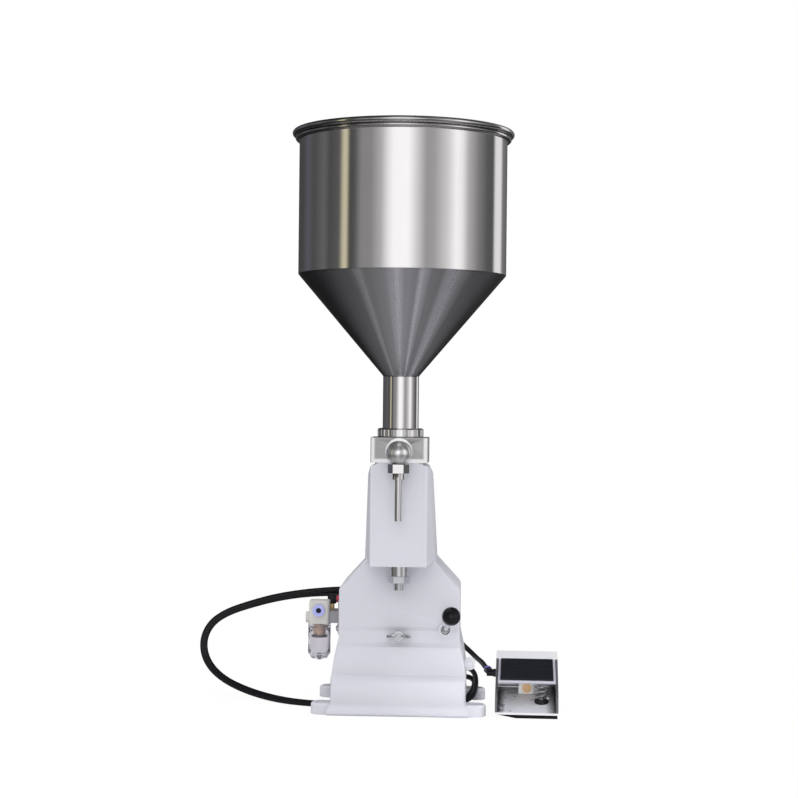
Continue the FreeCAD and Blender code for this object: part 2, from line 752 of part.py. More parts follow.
def make_valve_block():
    front = column_front
    block = box(-block_half, block_half, front, front + 2 * column_reach, column_top_z, block_top_z)
    block = rounded(block, 1.2, upright)
    block = joined(block, rod(spigot_radius, V(0, head_y, block_top_z - 1), V(0, head_y, spigot_top_z)))
    throat = [(0, column_top_z - 1), (chamber_radius, column_top_z - 1), (chamber_radius, chamber_top_z - 2),
              (inlet_throat, chamber_top_z), (inlet_throat, chamber_top_z + 4),
              (neck_radius - hopper_wall, spigot_top_z), (neck_radius - hopper_wall, spigot_top_z + 1),
              (0, spigot_top_z + 1)]
    cuts = [turned(throat, HEAD),
            rod(nose_spigot + running_gap, V(0, front - 1, outlet_z), V(0, front + nose_spigot_depth, outlet_z)),
            rod(outlet_cavity, V(0, front, outlet_z), V(0, outlet_seat_y, outlet_z)),
            rod(outlet_throat, V(0, front, outlet_z), V(0, head_y, outlet_z))]
    for x, y in block_screw_places():
        cuts.append(rod(block_screw_radius + 0.3, V(x, y, column_top_z - 1), V(x, y, block_top_z + 1)))
        cuts.append(rod(block_screw_head + loose_gap, V(x, y, block_top_z - block_screw_head_height),
                        V(x, y, block_top_z + 1)))
    for cut in cuts:
        block = block.cut(cut)
    keep("valve_block", block)
    keep("block_screws", group([cap_screw(x, y) for x, y in block_screw_places()]))
    keep("inlet_valve_ball", Part.makeSphere(inlet_ball_radius, V(0, head_y, inlet_ball_z)))
    cage_foot = column_top_z - cage_depth
    cage = pipe(cage_reach, cage_reach - 3.8, V(0, head_y, column_top_z - cage_height), V(0, head_y, column_top_z))
    bars = [box(-cage_reach + 1, cage_reach - 1, head_y - 2, head_y + 2, cage_foot, cage_foot + 3),
            box(-2, 2, head_y - cage_reach + 1, head_y + cage_reach - 1, cage_foot, cage_foot + 3)]
    bars = joined(*bars).common(rod(liner_bore - 0.4, V(0, head_y, cage_foot), V(0, head_y, column_top_z)))
    posts = []
    for side in (-1, 1):
        near = side * (liner_bore - 0.6)
        far = side * (cage_reach - 3.9 - 0.6)
        x0, x1 = sorted((near, far))
        posts.append(box(x0, x1, head_y - 2, head_y + 2, cage_foot, column_top_z - 1))
        posts.append(box(-2, 2, head_y + x0, head_y + x1, cage_foot, column_top_z - 1))
    keep("inlet_valve_cage", joined(cage, bars, *posts))
    foot = cage_foot + 3
    keep("inlet_valve_spring", coil_spring(inlet_spring_radius, inlet_spring_wire, V(0, head_y, foot),
                                           inlet_ball_z - inlet_ball_radius + 1.2 - foot, 4))


def cap_screw(x, y):
    """Socket head screw that holds the valve block on the column."""
    seat = block_top_z - block_screw_head_height
    head = rod(block_screw_head, V(x, y, seat), V(x, y, block_top_z - 0.6))
    socket = hexagon(4.0, V(x, y, block_top_z - 3.0), 4.0)
    shank = rod(block_screw_radius, V(x, y, column_top_z - block_screw_depth), V(x, y, seat))
    return joined(head.cut(socket), shank)


def make_outlet():
    centre = V(0, nose_y, outlet_z)
    front = column_front
    spigot = rod(nose_spigot, V(0, front + nose_spigot_depth - 0.2, outlet_z), V(0, front - 2, outlet_z))
    flange = rod(nose_flange_radius, V(0, front, outlet_z + nose_flange_rise),
                 V(0, front - nose_flange, outlet_z + nose_flange_rise))
    nut_top = nozzle_top_z + nozzle_nut_height + loose_gap
    flange = flange.cut(box(-block_half, block_half, front - nose_flange - 1, front + 1, nozzle_top_z, nut_top))
    barrel = rod(10.4, V(0, front - 1, outlet_z), centre)
    stub = rod(stub_radius, V(0, nose_y, nozzle_top_z + 1.9), centre)
    nose = joined(Part.makeSphere(nose_radius, centre), spigot, flange, barrel, stub)
    nose = nose.cut(rod(outlet_cavity, V(0, front + nose_spigot_depth, outlet_z), V(0, nose_y - nose_end, outlet_z)))
    nose = nose.cut(rod(nozzle_bore + 1.25, V(0, nose_y, nozzle_top_z), centre))
    keep("outlet_nose", nose)
    keep("outlet_valve_ball", Part.makeSphere(outlet_ball_radius, V(0, outlet_ball_y, outlet_z)))
    spring_start = outlet_ball_y - outlet_ball_radius + 1.2
    keep("outlet_valve_spring", coil_spring(outlet_spring_radius, outlet_spring_wire, V(0, spring_start, outlet_z),
                                            spring_start - nose_y + nose_end, 6, FRONT))
    nut_foot = nozzle_top_z
    nut = joined(hexagon(nozzle_nut_flats, V(0, nose_y, nut_foot), nozzle_nut_height),
                 rod(nozzle_collar_radius, V(0, nose_y, nut_foot - nozzle_collar_height), V(0, nose_y, nut_foot + 1)))
    nut = nut.cut(rod(stub_radius + running_gap, V(0, nose_y, nut_foot), V(0, nose_y, outlet_z)))
    nut = nut.cut(rod(nozzle_shank + running_gap, V(0, nose_y, nut_foot - 20), V(0, nose_y, nut_foot + 1)))
    keep("nozzle_nut", nut.cut(Part.makeSphere(nose_radius + 0.2, centre)))
    tip_z = nozzle_top_z + 1.9 - nozzle_length
    tube = joined(rod(nozzle_radius, V(0, nose_y, tip_z), V(0, nose_y, nut_foot)),
                  rod(nozzle_shank, V(0, nose_y, tip_z + nozzle_grip), V(0, nose_y, nut_foot + 1)),
                  rod(nozzle_flange, V(0, nose_y, nut_foot), V(0, nose_y, nut_foot + 1.9)))
    keep("nozzle", tube.cut(rod(nozzle_bore, V(0, nose_y, 0), V(0, nose_y, outlet_z))))


def grooved(radius, grooves, foot, height):
    """Piston disc with a groove for each seal, and the seals."""
    disc = rod(radius, V(0, head_y, foot), V(0, head_y, foot + height))
    seals = []
    for z in grooves:
        at = V(0, head_y, z - seal_radius - 0.1)
        top = V(0, head_y, z + seal_radius + 0.1)
        disc = disc.cut(pipe(radius + 1, radius - 2 * seal_radius, at, top))
        seals.append(Part.makeTorus(radius - seal_radius, seal_radius, V(0, head_y, z)))
    return disc, seals


def make_cylinder():
    top = column_top_z
    liner = pipe(liner_radius, liner_bore, V(0, head_y, liner_foot_z), V(0, head_y, top))
    keep("metering_cylinder", liner.cut(rod(cage_reach + running_gap, V(0, head_y, top - cage_height), V(0, head_y, top + 1))))
    keep("cylinder_partition", pipe(liner_radius, rod_radius + running_gap, V(0, head_y, partition_z), V(0, head_y, liner_foot_z)))
    metering, seals = grooved(liner_bore - running_gap, (piston_z + 3, piston_z + piston_height - 3), piston_z, piston_height)
    air, air_seals = grooved(air_bore - running_gap, (air_piston_z + air_piston_height / 2,), air_piston_z, air_piston_height)
    thread = rod(rod_end_radius, V(0, head_y, 0), V(0, head_y, spigot_top_z))
    keep("metering_piston", metering.cut(thread))
    keep("air_piston", air.cut(thread))
    keep("piston_seals", group(seals + air_seals))
    bar = joined(rod(rod_radius, V(0, head_y, air_piston_z + air_piston_height), V(0, head_y, piston_z)),
                 rod(rod_end_radius, V(0, head_y, air_piston_z), V(0, head_y, piston_z + piston_height)))
    keep("piston_rod", bar)
    cap = joined(rod(cap_radius, V(0, head_y, column_foot_z - cap_height), V(0, head_y, column_foot_z)),
                 rod(cap_spigot, V(0, head_y, column_foot_z - 1), V(0, head_y, cylinder_foot_z)))
    thread = rod(screw_radius + running_gap, V(0, head_y, 0), V(0, head_y, spigot_top_z))
    keep("cylinder_cap", cap.cut(thread))
    nut_foot = column_foot_z - cap_height - lock_nut_height
    keep("lock_nut", hexagon(lock_nut_flats, V(0, head_y, nut_foot), lock_nut_height).cut(thread))
    screw = rod(screw_radius, V(0, head_y, nut_foot - screw_end), V(0, head_y, air_piston_z - screw_gap))
    keep("adjusting_screw", screw.cut(hexagon(5.0, V(0, head_y, nut_foot - screw_end - 1), 6.0)))


def make_front_controls():
    stud_end = body_front - clamp_stud_length
    keep("clamp_stud", rod(clamp_stud_radius, V(0, body_front + wall + band_depth + 2, clamp_z), V(0, stud_end, clamp_z)))
    face = body_front + band_depth
    hub = rod(wing_hub_radius, V(0, face, clamp_z), V(0, face - 9, clamp_z))
    wings = []
    for side in (-1, 1):
        points = [(3, face - 1), (8, face - 2), (wing_span / 2, face - 7), (wing_span / 2, face - 14),
                  (wing_span / 2 - 3, face - 15), (8, face - 10), (3, face - 9)]
        wings.append(prism([V(side * x, y, clamp_z - wing_thickness / 2) for x, y in points], V(0, 0, wing_thickness)))
    nut = joined(hub, *wings)
    keep("clamp_wing_nut", nut.cut(rod(clamp_stud_radius + running_gap, V(0, face + 1, clamp_z), V(0, face - 30, clamp_z))))
    front = V(lever_x, body_front - bush_reach, lever_z)
    inner = V(lever_x, body_front + wall + band_depth + 4, lever_z)
    bush = joined(rod(bush_radius, front, V(lever_x, body_front, lever_z)), rod(bush_radius - 2, front, inner))
    pivot = V(lever_x, body_front - lever_pivot_reach, lever_z)
    bore = rod(lever_ball + 2 * loose_gap, pivot, front.add(FRONT))
    socket = bore.fuse(Part.makeSphere(lever_ball + loose_gap, pivot))
    reach = RIGHT * lever_pin_half
    hinge_hole = rod(lever_pin_radius + running_gap, pivot.sub(reach + RIGHT * loose_gap), pivot.add(reach + RIGHT * loose_gap))
    keep("lever_bush", bush.cut(socket.fuse(hinge_hole)))
    along = knob_centre.sub(pivot).normalize()
    stem = joined(Part.makeSphere(lever_ball, pivot), rod(lever_radius, pivot, knob_centre.sub(along * 2)),
                  rod(lever_pin_radius, pivot.sub(reach), pivot.add(reach)))
    keep("lever_stem", stem)
    knob = Part.makeSphere(knob_radius, knob_centre)
    keep("ball_knob", knob.cut(rod(lever_radius, pivot, knob_centre.sub(along * 2))))
    back = body_front + wall + band_depth
    body = box(lever_x - hand_valve_half, lever_x + hand_valve_half, back, back + hand_valve_depth,
               lever_z - hand_valve_height / 2, lever_z + hand_valve_height / 2)
    body = body.cut(rod(bush_radius - 2, V(lever_x, back - 1, lever_z), inner.sub(FRONT * 0.1)))
    for dz in (-9, 0, 9):
        at = V(lever_x - hand_valve_half - 1, back + hand_valve_depth - 7, lever_z + dz)
        body = body.cut(rod(hand_port_radius, at, at.add(RIGHT * 7)))
    keep("hand_valve", body)
    half = air_valve_width / 2
    back = body_front + wall
    z0 = air_valve_z - air_valve_height / 2
    valve = box(-half, half, back, back + air_valve_depth, z0, z0 + air_valve_height)
    for x in (-20, 0, 20):
        at = V(x, back + air_valve_depth + 1, air_valve_z)
        valve = valve.cut(rod(4.0, at, at.add(FRONT * 9)))
    caps = [box(min(s * half, s * (half + air_cap_length)), max(s * half, s * (half + air_cap_length)),
                back + 1, back + air_valve_depth - 1, z0 + 2, z0 + air_valve_height - 2) for s in (-1, 1)]
    keep("air_valve", joined(valve, *[rounded(cap, 2.0, upright) for cap in caps]))
    ends = [V(silencer_x, silencer_y + s * silencer_length / 2, silencer_z) for s in (-1, 1)]
    can = rounded(rod(silencer_radius, ends[0], ends[1]), 1.2, lambda e: True)
    ring = pipe(4.8, 3.4, ends[0].add(FRONT), ends[0].sub(FRONT * 0.8))
    neck = rod(silencer_neck, V(silencer_x, silencer_y, silencer_z), V(body_half - 4, silencer_y, silencer_z))
    keep("silencer", joined(can, neck).cut(ring))


def make_filter():
    axis = V(filter_x, filter_y, 0)
    half = filter_head_half
    head = box(filter_x - half, filter_x + half, filter_y - half, filter_y + half, filter_head_foot, filter_head_top)
    head = rounded(head, 4.0, upright)
    neck_top = filter_head_foot + bowl_neck_height + 1
    head = head.cut(rod(bowl_neck + running_gap, axis.add(UP * (filter_head_foot - 1)), axis.add(UP * neck_top)))
    head = head.cut(rod(drain_stem + running_gap, axis.add(UP * (neck_top - 1)), axis.add(UP * (neck_top + 5))))
    front = V(filter_x, filter_y - half, filter_inlet_z)
    head = head.cut(rod(fitting_radius - 1.5, front.add(FRONT), front.sub(FRONT * 9)))
    keep("filter_head", head)
    fitting = joined(rod(fitting_radius, front, front.add(FRONT * fitting_reach)),
                     rod(fitting_radius - 1.5, front.add(FRONT), front.sub(FRONT * 8.9)))
    bore_end = front.add(FRONT * (fitting_reach - hose_bore_depth))
    keep("inlet_fitting", fitting.cut(rod(tube_radius + running_gap, front.add(FRONT * 20), bore_end)))
    bowl_top = filter_head_foot
    inner = bowl_radius - bowl_wall
    profile = [(drain_stem + running_gap, bowl_foot_z), (bowl_radius - 4, bowl_foot_z), (bowl_radius, bowl_foot_z + 6),
               (bowl_radius, bowl_top), (bowl_neck, bowl_top), (bowl_neck, bowl_top + bowl_neck_height),
               (bowl_neck - bowl_wall, bowl_top + bowl_neck_height), (bowl_neck - bowl_wall, bowl_top - 2),
               (inner, bowl_top - 4), (inner, bowl_foot_z + 7), (inner - 3.4, bowl_foot_z + 2),
               (drain_stem + running_gap, bowl_foot_z + 2)]
    keep("filter_bowl", turned(profile, axis))
    stem_top = axis.add(UP * (neck_top + 4.8))
    baffle_top = filter_head_foot - 11.5
    baffle = joined(rod(baffle_radius, axis.add(UP * (baffle_top - baffle_height)), axis.add(UP * baffle_top)),
                    rod(drain_stem, axis.add(UP * (baffle_top - 1)), stem_top))
    keep("filter_baffle", baffle)
    keep("filter_element", pipe(element_radius, drain_stem + running_gap, axis.add(UP * baffle_top),
                                axis.add(UP * neck_top)))
    foot = bowl_foot_z - drain_travel
    drain = [rod(drain_radius, axis.add(UP * (foot - 3.5)), axis.add(UP * foot)),
             rod(drain_stem, axis.add(UP * (foot - 1)), axis.add(UP * (foot + 4.5))),
             rod(drain_radius - 0.4, axis.add(UP * (foot + 4.1)), axis.add(UP * (foot + 5.5)))]
    keep("filter_drain", joined(*drain).cut(rod(0.8, axis, axis.add(UP * (foot - 1)))))
    face = -body_half
    plate = box(face - bracket_sheet, face, filter_y - bracket_half, filter_y + bracket_half, bracket_foot_z, bracket_top_z)
    arm = box(filter_head_x, face - 1, filter_y - 6, filter_y + 6, arm_foot_z, arm_top_z)
    lift = box(lift_x - 5, face - 1, filter_y + filter_head_half + 0.2, lift_y + 6, arm_foot_z, arm_top_z)
    bracket = joined(plate, arm, lift, box(filter_head_x + 1, face - 1, filter_y, lift_y, arm_foot_z, arm_top_z))
    lift_at = V(lift_x, lift_y, 0)
    cuts = [rod(screw_shank_radius, at.add(RIGHT * -3), at.add(RIGHT * 5)) for at in bracket_screw_places()]
    cuts.append(rod(2.0, lift_at.add(UP * (arm_top_z - 5)), lift_at.add(UP * (arm_top_z + 1))))
    cuts.append(rod(tube_radius + loose_gap, V(face - 5, lift_y, filter_arm_z), V(face + 5, lift_y, filter_arm_z)))
    keep("filter_bracket", bracket.cut(group(cuts)))
    nipple = joined(hexagon(nipple_flats, lift_at.add(UP * arm_top_z), filter_elbow_foot - arm_top_z),
                    rod(2.0, lift_at.add(UP * (arm_top_z - 4.8)), lift_at.add(UP * (filter_elbow_foot + 2))))
    keep("filter_nipple", nipple)
    centre = V(lift_x, lift_y, filter_arm_z)
    arm_end = V(filter_arm_end, lift_y, filter_arm_z)
    hub = rod(filter_elbow_radius, lift_at.add(UP * filter_elbow_foot),
              lift_at.add(UP * (filter_elbow_foot + filter_elbow_height)))
    body = joined(hub, rod(filter_elbow_radius - 0.4, centre, arm_end))
    body = body.cut(rod(2.0, lift_at.add(UP * (filter_elbow_foot - 1)), lift_at.add(UP * (filter_elbow_foot + 2))))
    tube_start = arm_end.sub(RIGHT * 5)
    keep("filter_elbow", body.cut(rod(tube_radius + running_gap, tube_start, arm_end.add(RIGHT))))
    keep("red_collet", pipe(collet_radius - 0.6, tube_radius + running_gap, arm_end, V(red_collet_end, lift_y, filter_arm_z)))
    keep("outlet_tube", pipe(tube_radius, tube_radius - 1, tube_start, V(outlet_tube_end, lift_y, filter_arm_z)))


def make_hoses():
    bodies = []
    collets = []
    for at, normal, arm, hub in machine_elbows():
        body, collet = elbow(at, normal, arm, hub, wall + 1.5)
        bodies.append(body)
        collets.append(collet)
    at = pedal_point(-pedal_width / 2, pedal_elbow_y, pedal_elbow_z)
    normal = pedal_point(-1, 0, 0).sub(pedal_point(0, 0, 0))
    body, collet = elbow(at, normal, pedal_elbow_arm, pedal_elbow_hub, pedal_wall)
    keep("elbow_fittings", group(bodies + [body]))
    keep("blue_collets", group(collets + [collet]))
    clip = rear_slab(clip_width / 2, clip_down - clip_half, clip_down + clip_half, 0, clip_reach, clip_x)
    foot = rear_slab(clip_width / 2, clip_screw_down - 4.5, clip_down, 0, clip_foot, clip_x)
    clip = joined(clip, foot)
    for route in (pedal_hose_route, return_hose_route):
        points = [V(*point) for point in route]
        left = [p for p in points if p.y > 60 and p.x < clip_x and p.x > clip_x - 20][-1]
        right = [p for p in points if p.y > 60 and p.x > clip_x and p.x < clip_x + 20 and p.z > 100][0]
        clip = clip.cut(rod(hose_radius + running_gap, left, right))
    screw = clip_screw_place()
    clip = clip.cut(rod(screw_shank_radius, screw.add(rear_normal()), screw.sub(rear_normal() * 5)))
    keep("hose_clip", clip)
    keep("air_hose_a", hose(pedal_hose_route, hose_radius))
    keep("air_hose_b", hose(return_hose_route, hose_radius))


def pedal_placement():
    return FreeCAD.Placement(V(pedal_x, pedal_y, 0), FreeCAD.Rotation(UP, pedal_yaw))


def pedal_point(x, y, z):
    return pedal_placement().multVec(V(x, y, z))


def pedal_keep(name, shape):
    """Pedal pieces are drawn in the pedal's own frame and then set on the floor."""
    placed = shape.copy()
    placed.Placement = pedal_placement().multiply(shape.Placement)
    keep(name, placed)


def across_pedal(outline, x0, x1):
    """Prism across the pedal from an outline of (y, z) points."""
    return prism([V(x0, y, z) for y, z in outline], V(x1 - x0, 0, 0))


def tread_z(y):
    return tread_front_z + (y - tread_front) * math.tan(math.radians(tread_slope))


def make_pedal():
    half = pedal_width / 2
    inner = half - pedal_wall
    back = pedal_depth
    hood_rear = back - hood_sheet
    side = [(0, pad_height), (back, pad_height), (back, hood_top_z), (hood_front, hood_front_z),
            (side_rise, side_front_z), (0, deck_front_z)]
    walls = [across_pedal(side, -half, -inner), across_pedal(side, inner, half)]
    deck = [(0, deck_front_z), (deck_bend, deck_level_z), (back, deck_level_z), (back, deck_level_z - deck_sheet),
            (deck_bend, deck_level_z - deck_sheet), (0, deck_front_z - deck_sheet)]
    hood = [(hood_front, hood_front_z), (back, hood_top_z), (back, hood_top_z - hood_sheet),
            (hood_front, hood_front_z - hood_sheet)]
    pieces = walls + [across_pedal(deck, -half, half), across_pedal(hood, -half, half),
                      box(-half, half, hood_rear, back, pad_height, hood_top_z - 1),
                      box(-half, half, 0, pedal_wall, pad_height, deck_front_z - 1)]
    housing = joined(*pieces)
    slope = math.atan2(deck_level_z - deck_front_z, deck_bend)
    for x, y in deck_slots:
        z = deck_front_z + y * math.tan(slope)
        housing = housing.cut(box(x - slot_length / 2, x + slot_length / 2, y - slot_width / 2, y + slot_width / 2,
                                  z - 6, z + 6))
    pivot = V(0, hinge_y, hinge_z)
    housing = housing.cut(rod(hinge_radius, pivot.sub(RIGHT * (half + 1)), pivot.add(RIGHT * (half + 1))))
    cross = V(0, cross_pin_y, cross_pin_z)
    housing = housing.cut(rod(cross_pin_radius, cross.sub(RIGHT * (half + 1)), cross.sub(RIGHT * (inner - 1))))
    port = V(-half, pedal_elbow_y, pedal_elbow_z)
    housing = housing.cut(rod(elbow_stem, port.sub(RIGHT), port.add(RIGHT * (pedal_wall + 1))))
    corner_x, corner_y = corner_screw
    corner_z = deck_front_z + corner_y * math.tan(slope)
    housing = housing.cut(rod(screw_shank_radius, V(corner_x, corner_y, corner_z - 8), V(corner_x, corner_y, corner_z + 4)))
    seat_z = deck_front_z + spring_y * math.tan(slope)
    housing = housing.cut(rod(screw_shank_radius, V(spring_x, spring_y, seat_z - 8), V(spring_x, spring_y, seat_z + 8)))
    pedal_keep("pedal_housing", housing)
    pad = prism([V(-half + 1, pad_cut_back, 0), V(-12, 1, 0), V(half - 1, 1, 0), V(half - 1, back - 1, 0),
                 V(-half + 1, back - 1, 0)], V(0, 0, pad_height))
    pedal_keep("pedal_pad", pad)

    under = [(y, tread_z(y) - tread_sheet) for y in (tread_back, tread_front)]
    tread = [(tread_front, tread_z(tread_front)), (tread_back, tread_z(tread_back))] + under
    lip = box(-tread_half, tread_half, tread_front, tread_front + 2.6, tread_front_z - tread_lip, tread_front_z - 1)
    lug = [(lug_front, tread_z(lug_front) - tread_sheet - 3), (lug_front, tread_z(lug_front) - 1),
           (tread_back, tread_z(tread_back) - 1), (tread_back + 1, lug_top_z), (lug_back, lug_top_z),
           (lug_back, lug_foot_z), (tread_back + 3, lug_foot_z)]
    lugs = [across_pedal(lug, lug_x, lug_x + lug_sheet), across_pedal(lug, -lug_x - lug_sheet, -lug_x)]
    boss = rod(spring_radius + spring_wire, V(spring_x, spring_y, spring_top_z),
               V(spring_x, spring_y, tread_z(spring_y) - 1.2))
    plate = joined(across_pedal(tread, -tread_half, tread_half), lip, boss, *lugs)
    plate = plate.cut(rod(hinge_radius + running_gap, pivot.sub(RIGHT * half), pivot.add(RIGHT * half)))
    pedal_keep("pedal_tread", plate)
    mat = [(mat_front, tread_z(mat_front)), (mat_front, tread_z(mat_front) + mat_height),
           (mat_back, tread_z(mat_back) + mat_height), (mat_back, tread_z(mat_back))]
    mat = across_pedal(mat, -mat_half, mat_half)
    for row in range(1, 8):
        y = mat_front + row * (mat_back - mat_front) / 8
        groove = box(-mat_half + 3, mat_half - 3, y - 0.7, y + 0.7, tread_z(y) + mat_height - 0.7, tread_z(y) + mat_height + 3)
        mat = mat.cut(groove)
    pedal_keep("tread_mat", mat)
    hinge = rod(hinge_radius, pivot.sub(RIGHT * half), pivot.add(RIGHT * half))
    valve_end = V(valve_left + 3, cross_pin_y, cross_pin_z)
    cross_pin = rod(cross_pin_radius, cross.sub(RIGHT * half), valve_end)
    pedal_keep("pedal_pins", group([hinge, cross_pin]))

    seat = joined(rod(seat_radius, V(spring_x, spring_y, 8), V(spring_x, spring_y, spring_foot_z)))
    below = across_pedal([(-20, deck_front_z - 20 * math.tan(slope)), (deck_bend, deck_level_z), (deck_bend, 0), (-20, 0)],
                         -half, half)
    hole = rod(screw_shank_radius, V(spring_x, spring_y, 8), V(spring_x, spring_y, spring_foot_z + 1))
    pedal_keep("spring_seat", seat.cut(below).cut(hole))
    pedal_keep("return_spring", coil_spring(spring_radius, spring_wire, V(spring_x, spring_y, spring_foot_z),
                                            spring_top_z - spring_foot_z, spring_turns))
    corner_axis = V(0, -math.sin(slope), math.cos(slope))
    for screw in (pan_screw(V(spring_x, spring_y, spring_foot_z), UP),
                  pan_screw(V(corner_x, corner_y, corner_z), corner_axis)):
        screw.Placement = pedal_placement().multiply(screw.Placement)
        screws.append(screw)

    valve_top = deck_level_z + valve_height
    body_front_y = valve_front + valve_cap
    valve = box(valve_left, valve_right, body_front_y, valve_front + valve_length, deck_level_z, valve_top)
    stem_at = V(plunger_x, plunger_y, 0)
    stem_foot = stem_at.add(UP * (plunger_foot_z - plunger_travel - 0.6))
    valve = valve.cut(rod(plunger_radius + running_gap, stem_foot, stem_at.add(UP * (valve_top + 1))))
    pedal_keep("pedal_valve", valve.cut(rod(cross_pin_radius, cross.sub(RIGHT * half), valve_end)))
    cap = box(valve_left, valve_left + valve_cap_width, valve_front, body_front_y, deck_level_z + 0.1, valve_top)
    face = V(spool_x, valve_front, deck_level_z + spool_lift)
    pedal_keep("valve_end_cap", cap.cut(rod(2.5, face.add(FRONT), face.sub(FRONT * 5))))
    spool = joined(rod(spool_radius, face, face.add(FRONT * spool_reach)), rod(2.5, face.add(FRONT * 0.5), face.sub(FRONT * 2.9)))
    pedal_keep("spool_end", spool)
    pedal_keep("valve_plunger", rod(plunger_radius, stem_at.add(UP * plunger_foot_z), stem_at.add(UP * plunger_top_z)))


parts = {}
screws = []


def keep(name, shape):
    parts[name] = shape


make_body()
make_covers()
make_hopper()
make_valve_block()
make_outlet()
make_cylinder()
make_front_controls()
make_filter()
make_hoses()
make_pedal()
keep("pan_screws", group(screws))

os.makedirs("parts", exist_ok=True)
for name, shape in parts.items():
    if not shape.isValid():
        print("not valid:", name)
    shape.exportStep("parts/%s.step" % name)
print(len(parts), "pieces")
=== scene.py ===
"""Looks of a bench filling machine with a steel hopper, a painted casting and a foot pedal."""
import math

import bmesh
import bpy
from mathutils import Matrix, Vector


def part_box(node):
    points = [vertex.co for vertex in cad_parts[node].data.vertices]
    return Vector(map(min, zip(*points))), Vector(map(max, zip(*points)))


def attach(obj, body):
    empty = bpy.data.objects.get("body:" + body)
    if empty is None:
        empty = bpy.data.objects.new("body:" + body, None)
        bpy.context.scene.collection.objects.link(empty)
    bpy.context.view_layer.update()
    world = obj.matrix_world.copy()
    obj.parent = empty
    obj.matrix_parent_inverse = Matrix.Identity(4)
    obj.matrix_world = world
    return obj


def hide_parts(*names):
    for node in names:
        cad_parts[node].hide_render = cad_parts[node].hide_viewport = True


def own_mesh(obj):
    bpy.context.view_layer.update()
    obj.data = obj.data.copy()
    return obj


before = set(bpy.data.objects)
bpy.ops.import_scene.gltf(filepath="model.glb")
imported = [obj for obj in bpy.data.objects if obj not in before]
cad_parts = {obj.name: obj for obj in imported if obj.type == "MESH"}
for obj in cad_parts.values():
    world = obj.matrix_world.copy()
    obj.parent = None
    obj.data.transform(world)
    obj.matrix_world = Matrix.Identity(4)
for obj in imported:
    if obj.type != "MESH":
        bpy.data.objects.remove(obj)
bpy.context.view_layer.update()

# Sizes in metres: hoses
hose_diameter = 0.006

# Hopper, from its foot flange up to the rolled rim
head_axis_y = -0.070
neck_radius = 0.020
foot_flange_radius = 0.0212
foot_flange_height = 0.002
flange_fillet_foot = 0.0022
flange_fillet_top = 0.0028
seam_ease = 0.0004
cone_foot_z = 0.3785
cone_top_z = 0.4905
shoulder_in = 0.0012
shoulder_edge = 0.0001
shoulder_top = 0.0016
hopper_radius = 0.1156
hopper_sheet = 0.0015
sheet_ease = 0.0006
lip_radius = 0.1201
lip_bead = 0.0022
lip_drop = 0.0089
lip_foot = 0.0116
lip_corner = 0.0110
rim_bead = 0.0033
rim_seam = 0.001
hopper_steps = 160

# Clamp nut
spigot_bore = 0.02205
neck_clearance = 0.0003
nut_notches = 24
nut_cut = 0.0007
nut_ledge = 0.0052
notch_margin = 0.0002
notch_depth = 0.0013

# Filter
block_corner = 0.0034
block_rim = 0.0016
boss_radius = 0.0064
boss_length = 0.006
boss_out = 0.0012
boss_rise = 0.0074
boss_end = 0.003
boss_round = 0.0007
# Dark disc of painted shade in the filter port
port_shadow_radius = 0.0030
port_shadow_height = 0.0012
port_shadow_lip = 0.0008
port_shadow_dish = 0.0002
port_shadow_out = 0.0004
drain_share = 0.55

# Casting: rolled corners, the band across its front, and the heights between which edges stay sharp
casting_round = 0.0028
casting_round_steps = 3
long_edge = 0.012
long_edge_turn = math.radians(20.0)
band_y = -0.053
band_slack = 0.0004
band_foot = 0.0785
band_top = 0.0965
band_out = 0.0014
band_lip = 0.003
band_lip_drop = 0.002
sharp_foot = 0.0770
sharp_top = 0.0990
crown_foot = 0.2620

# Pedal
pedal_left = 0.100
pedal_elbow_x = 0.088
pedal_port_z = 0.041
pedal_port_share = 0.70
sill_back = -0.064
sill_foot = 0.005
sill_top = 0.012
sill_drop = 0.0022
deck_top = 0.02
wall_edge = 0.005
left_wall_from = 0.1102
left_wall_to = 0.12
right_wall_from = 0.17
tread_lip_back = -0.015
tread_lip_foot = 0.0008
tread_lip_rise = 0.0028

# Directions, and the shading and rounding that the copies of CAD pieces share
origin = (0.0, 0.0, 0.0)
upward = (0.0, 0.0, 1.0)
backward = (0.0, 1.0, 0.0)
crease = math.radians(30.0)
soft_edge_steps = 2



# Camera of the photograph: level, a little left of straight on
image_size = 798.0
focal_pixels = 1800.0
camera_azimuth = math.radians(2.4)
camera_roll = math.radians(0.6)
camera_distance = 2.004
camera_height = 0.353
sideways_pixels = -1.9
sight = Vector((-math.sin(camera_azimuth), math.cos(camera_azimuth), 0.0))
camera_data = bpy.data.cameras.new("camera")
camera_data.sensor_width = 36.0
camera_data.lens = focal_pixels / image_size * camera_data.sensor_width
camera_data.shift_x = sideways_pixels / image_size
camera = bpy.data.objects.new("camera", camera_data)
camera.location = Vector((0.0, head_axis_y, camera_height)) - sight * camera_distance
look = sight.to_track_quat("-Z", "Y").to_matrix().to_4x4()
camera.matrix_world = Matrix.Translation(camera.location) @ look @ Matrix.Rotation(camera_roll, 4, "Z")
bpy.context.scene.collection.objects.link(camera)
bpy.context.scene.camera = camera
bpy.context.scene.view_settings.view_transform = "Standard"


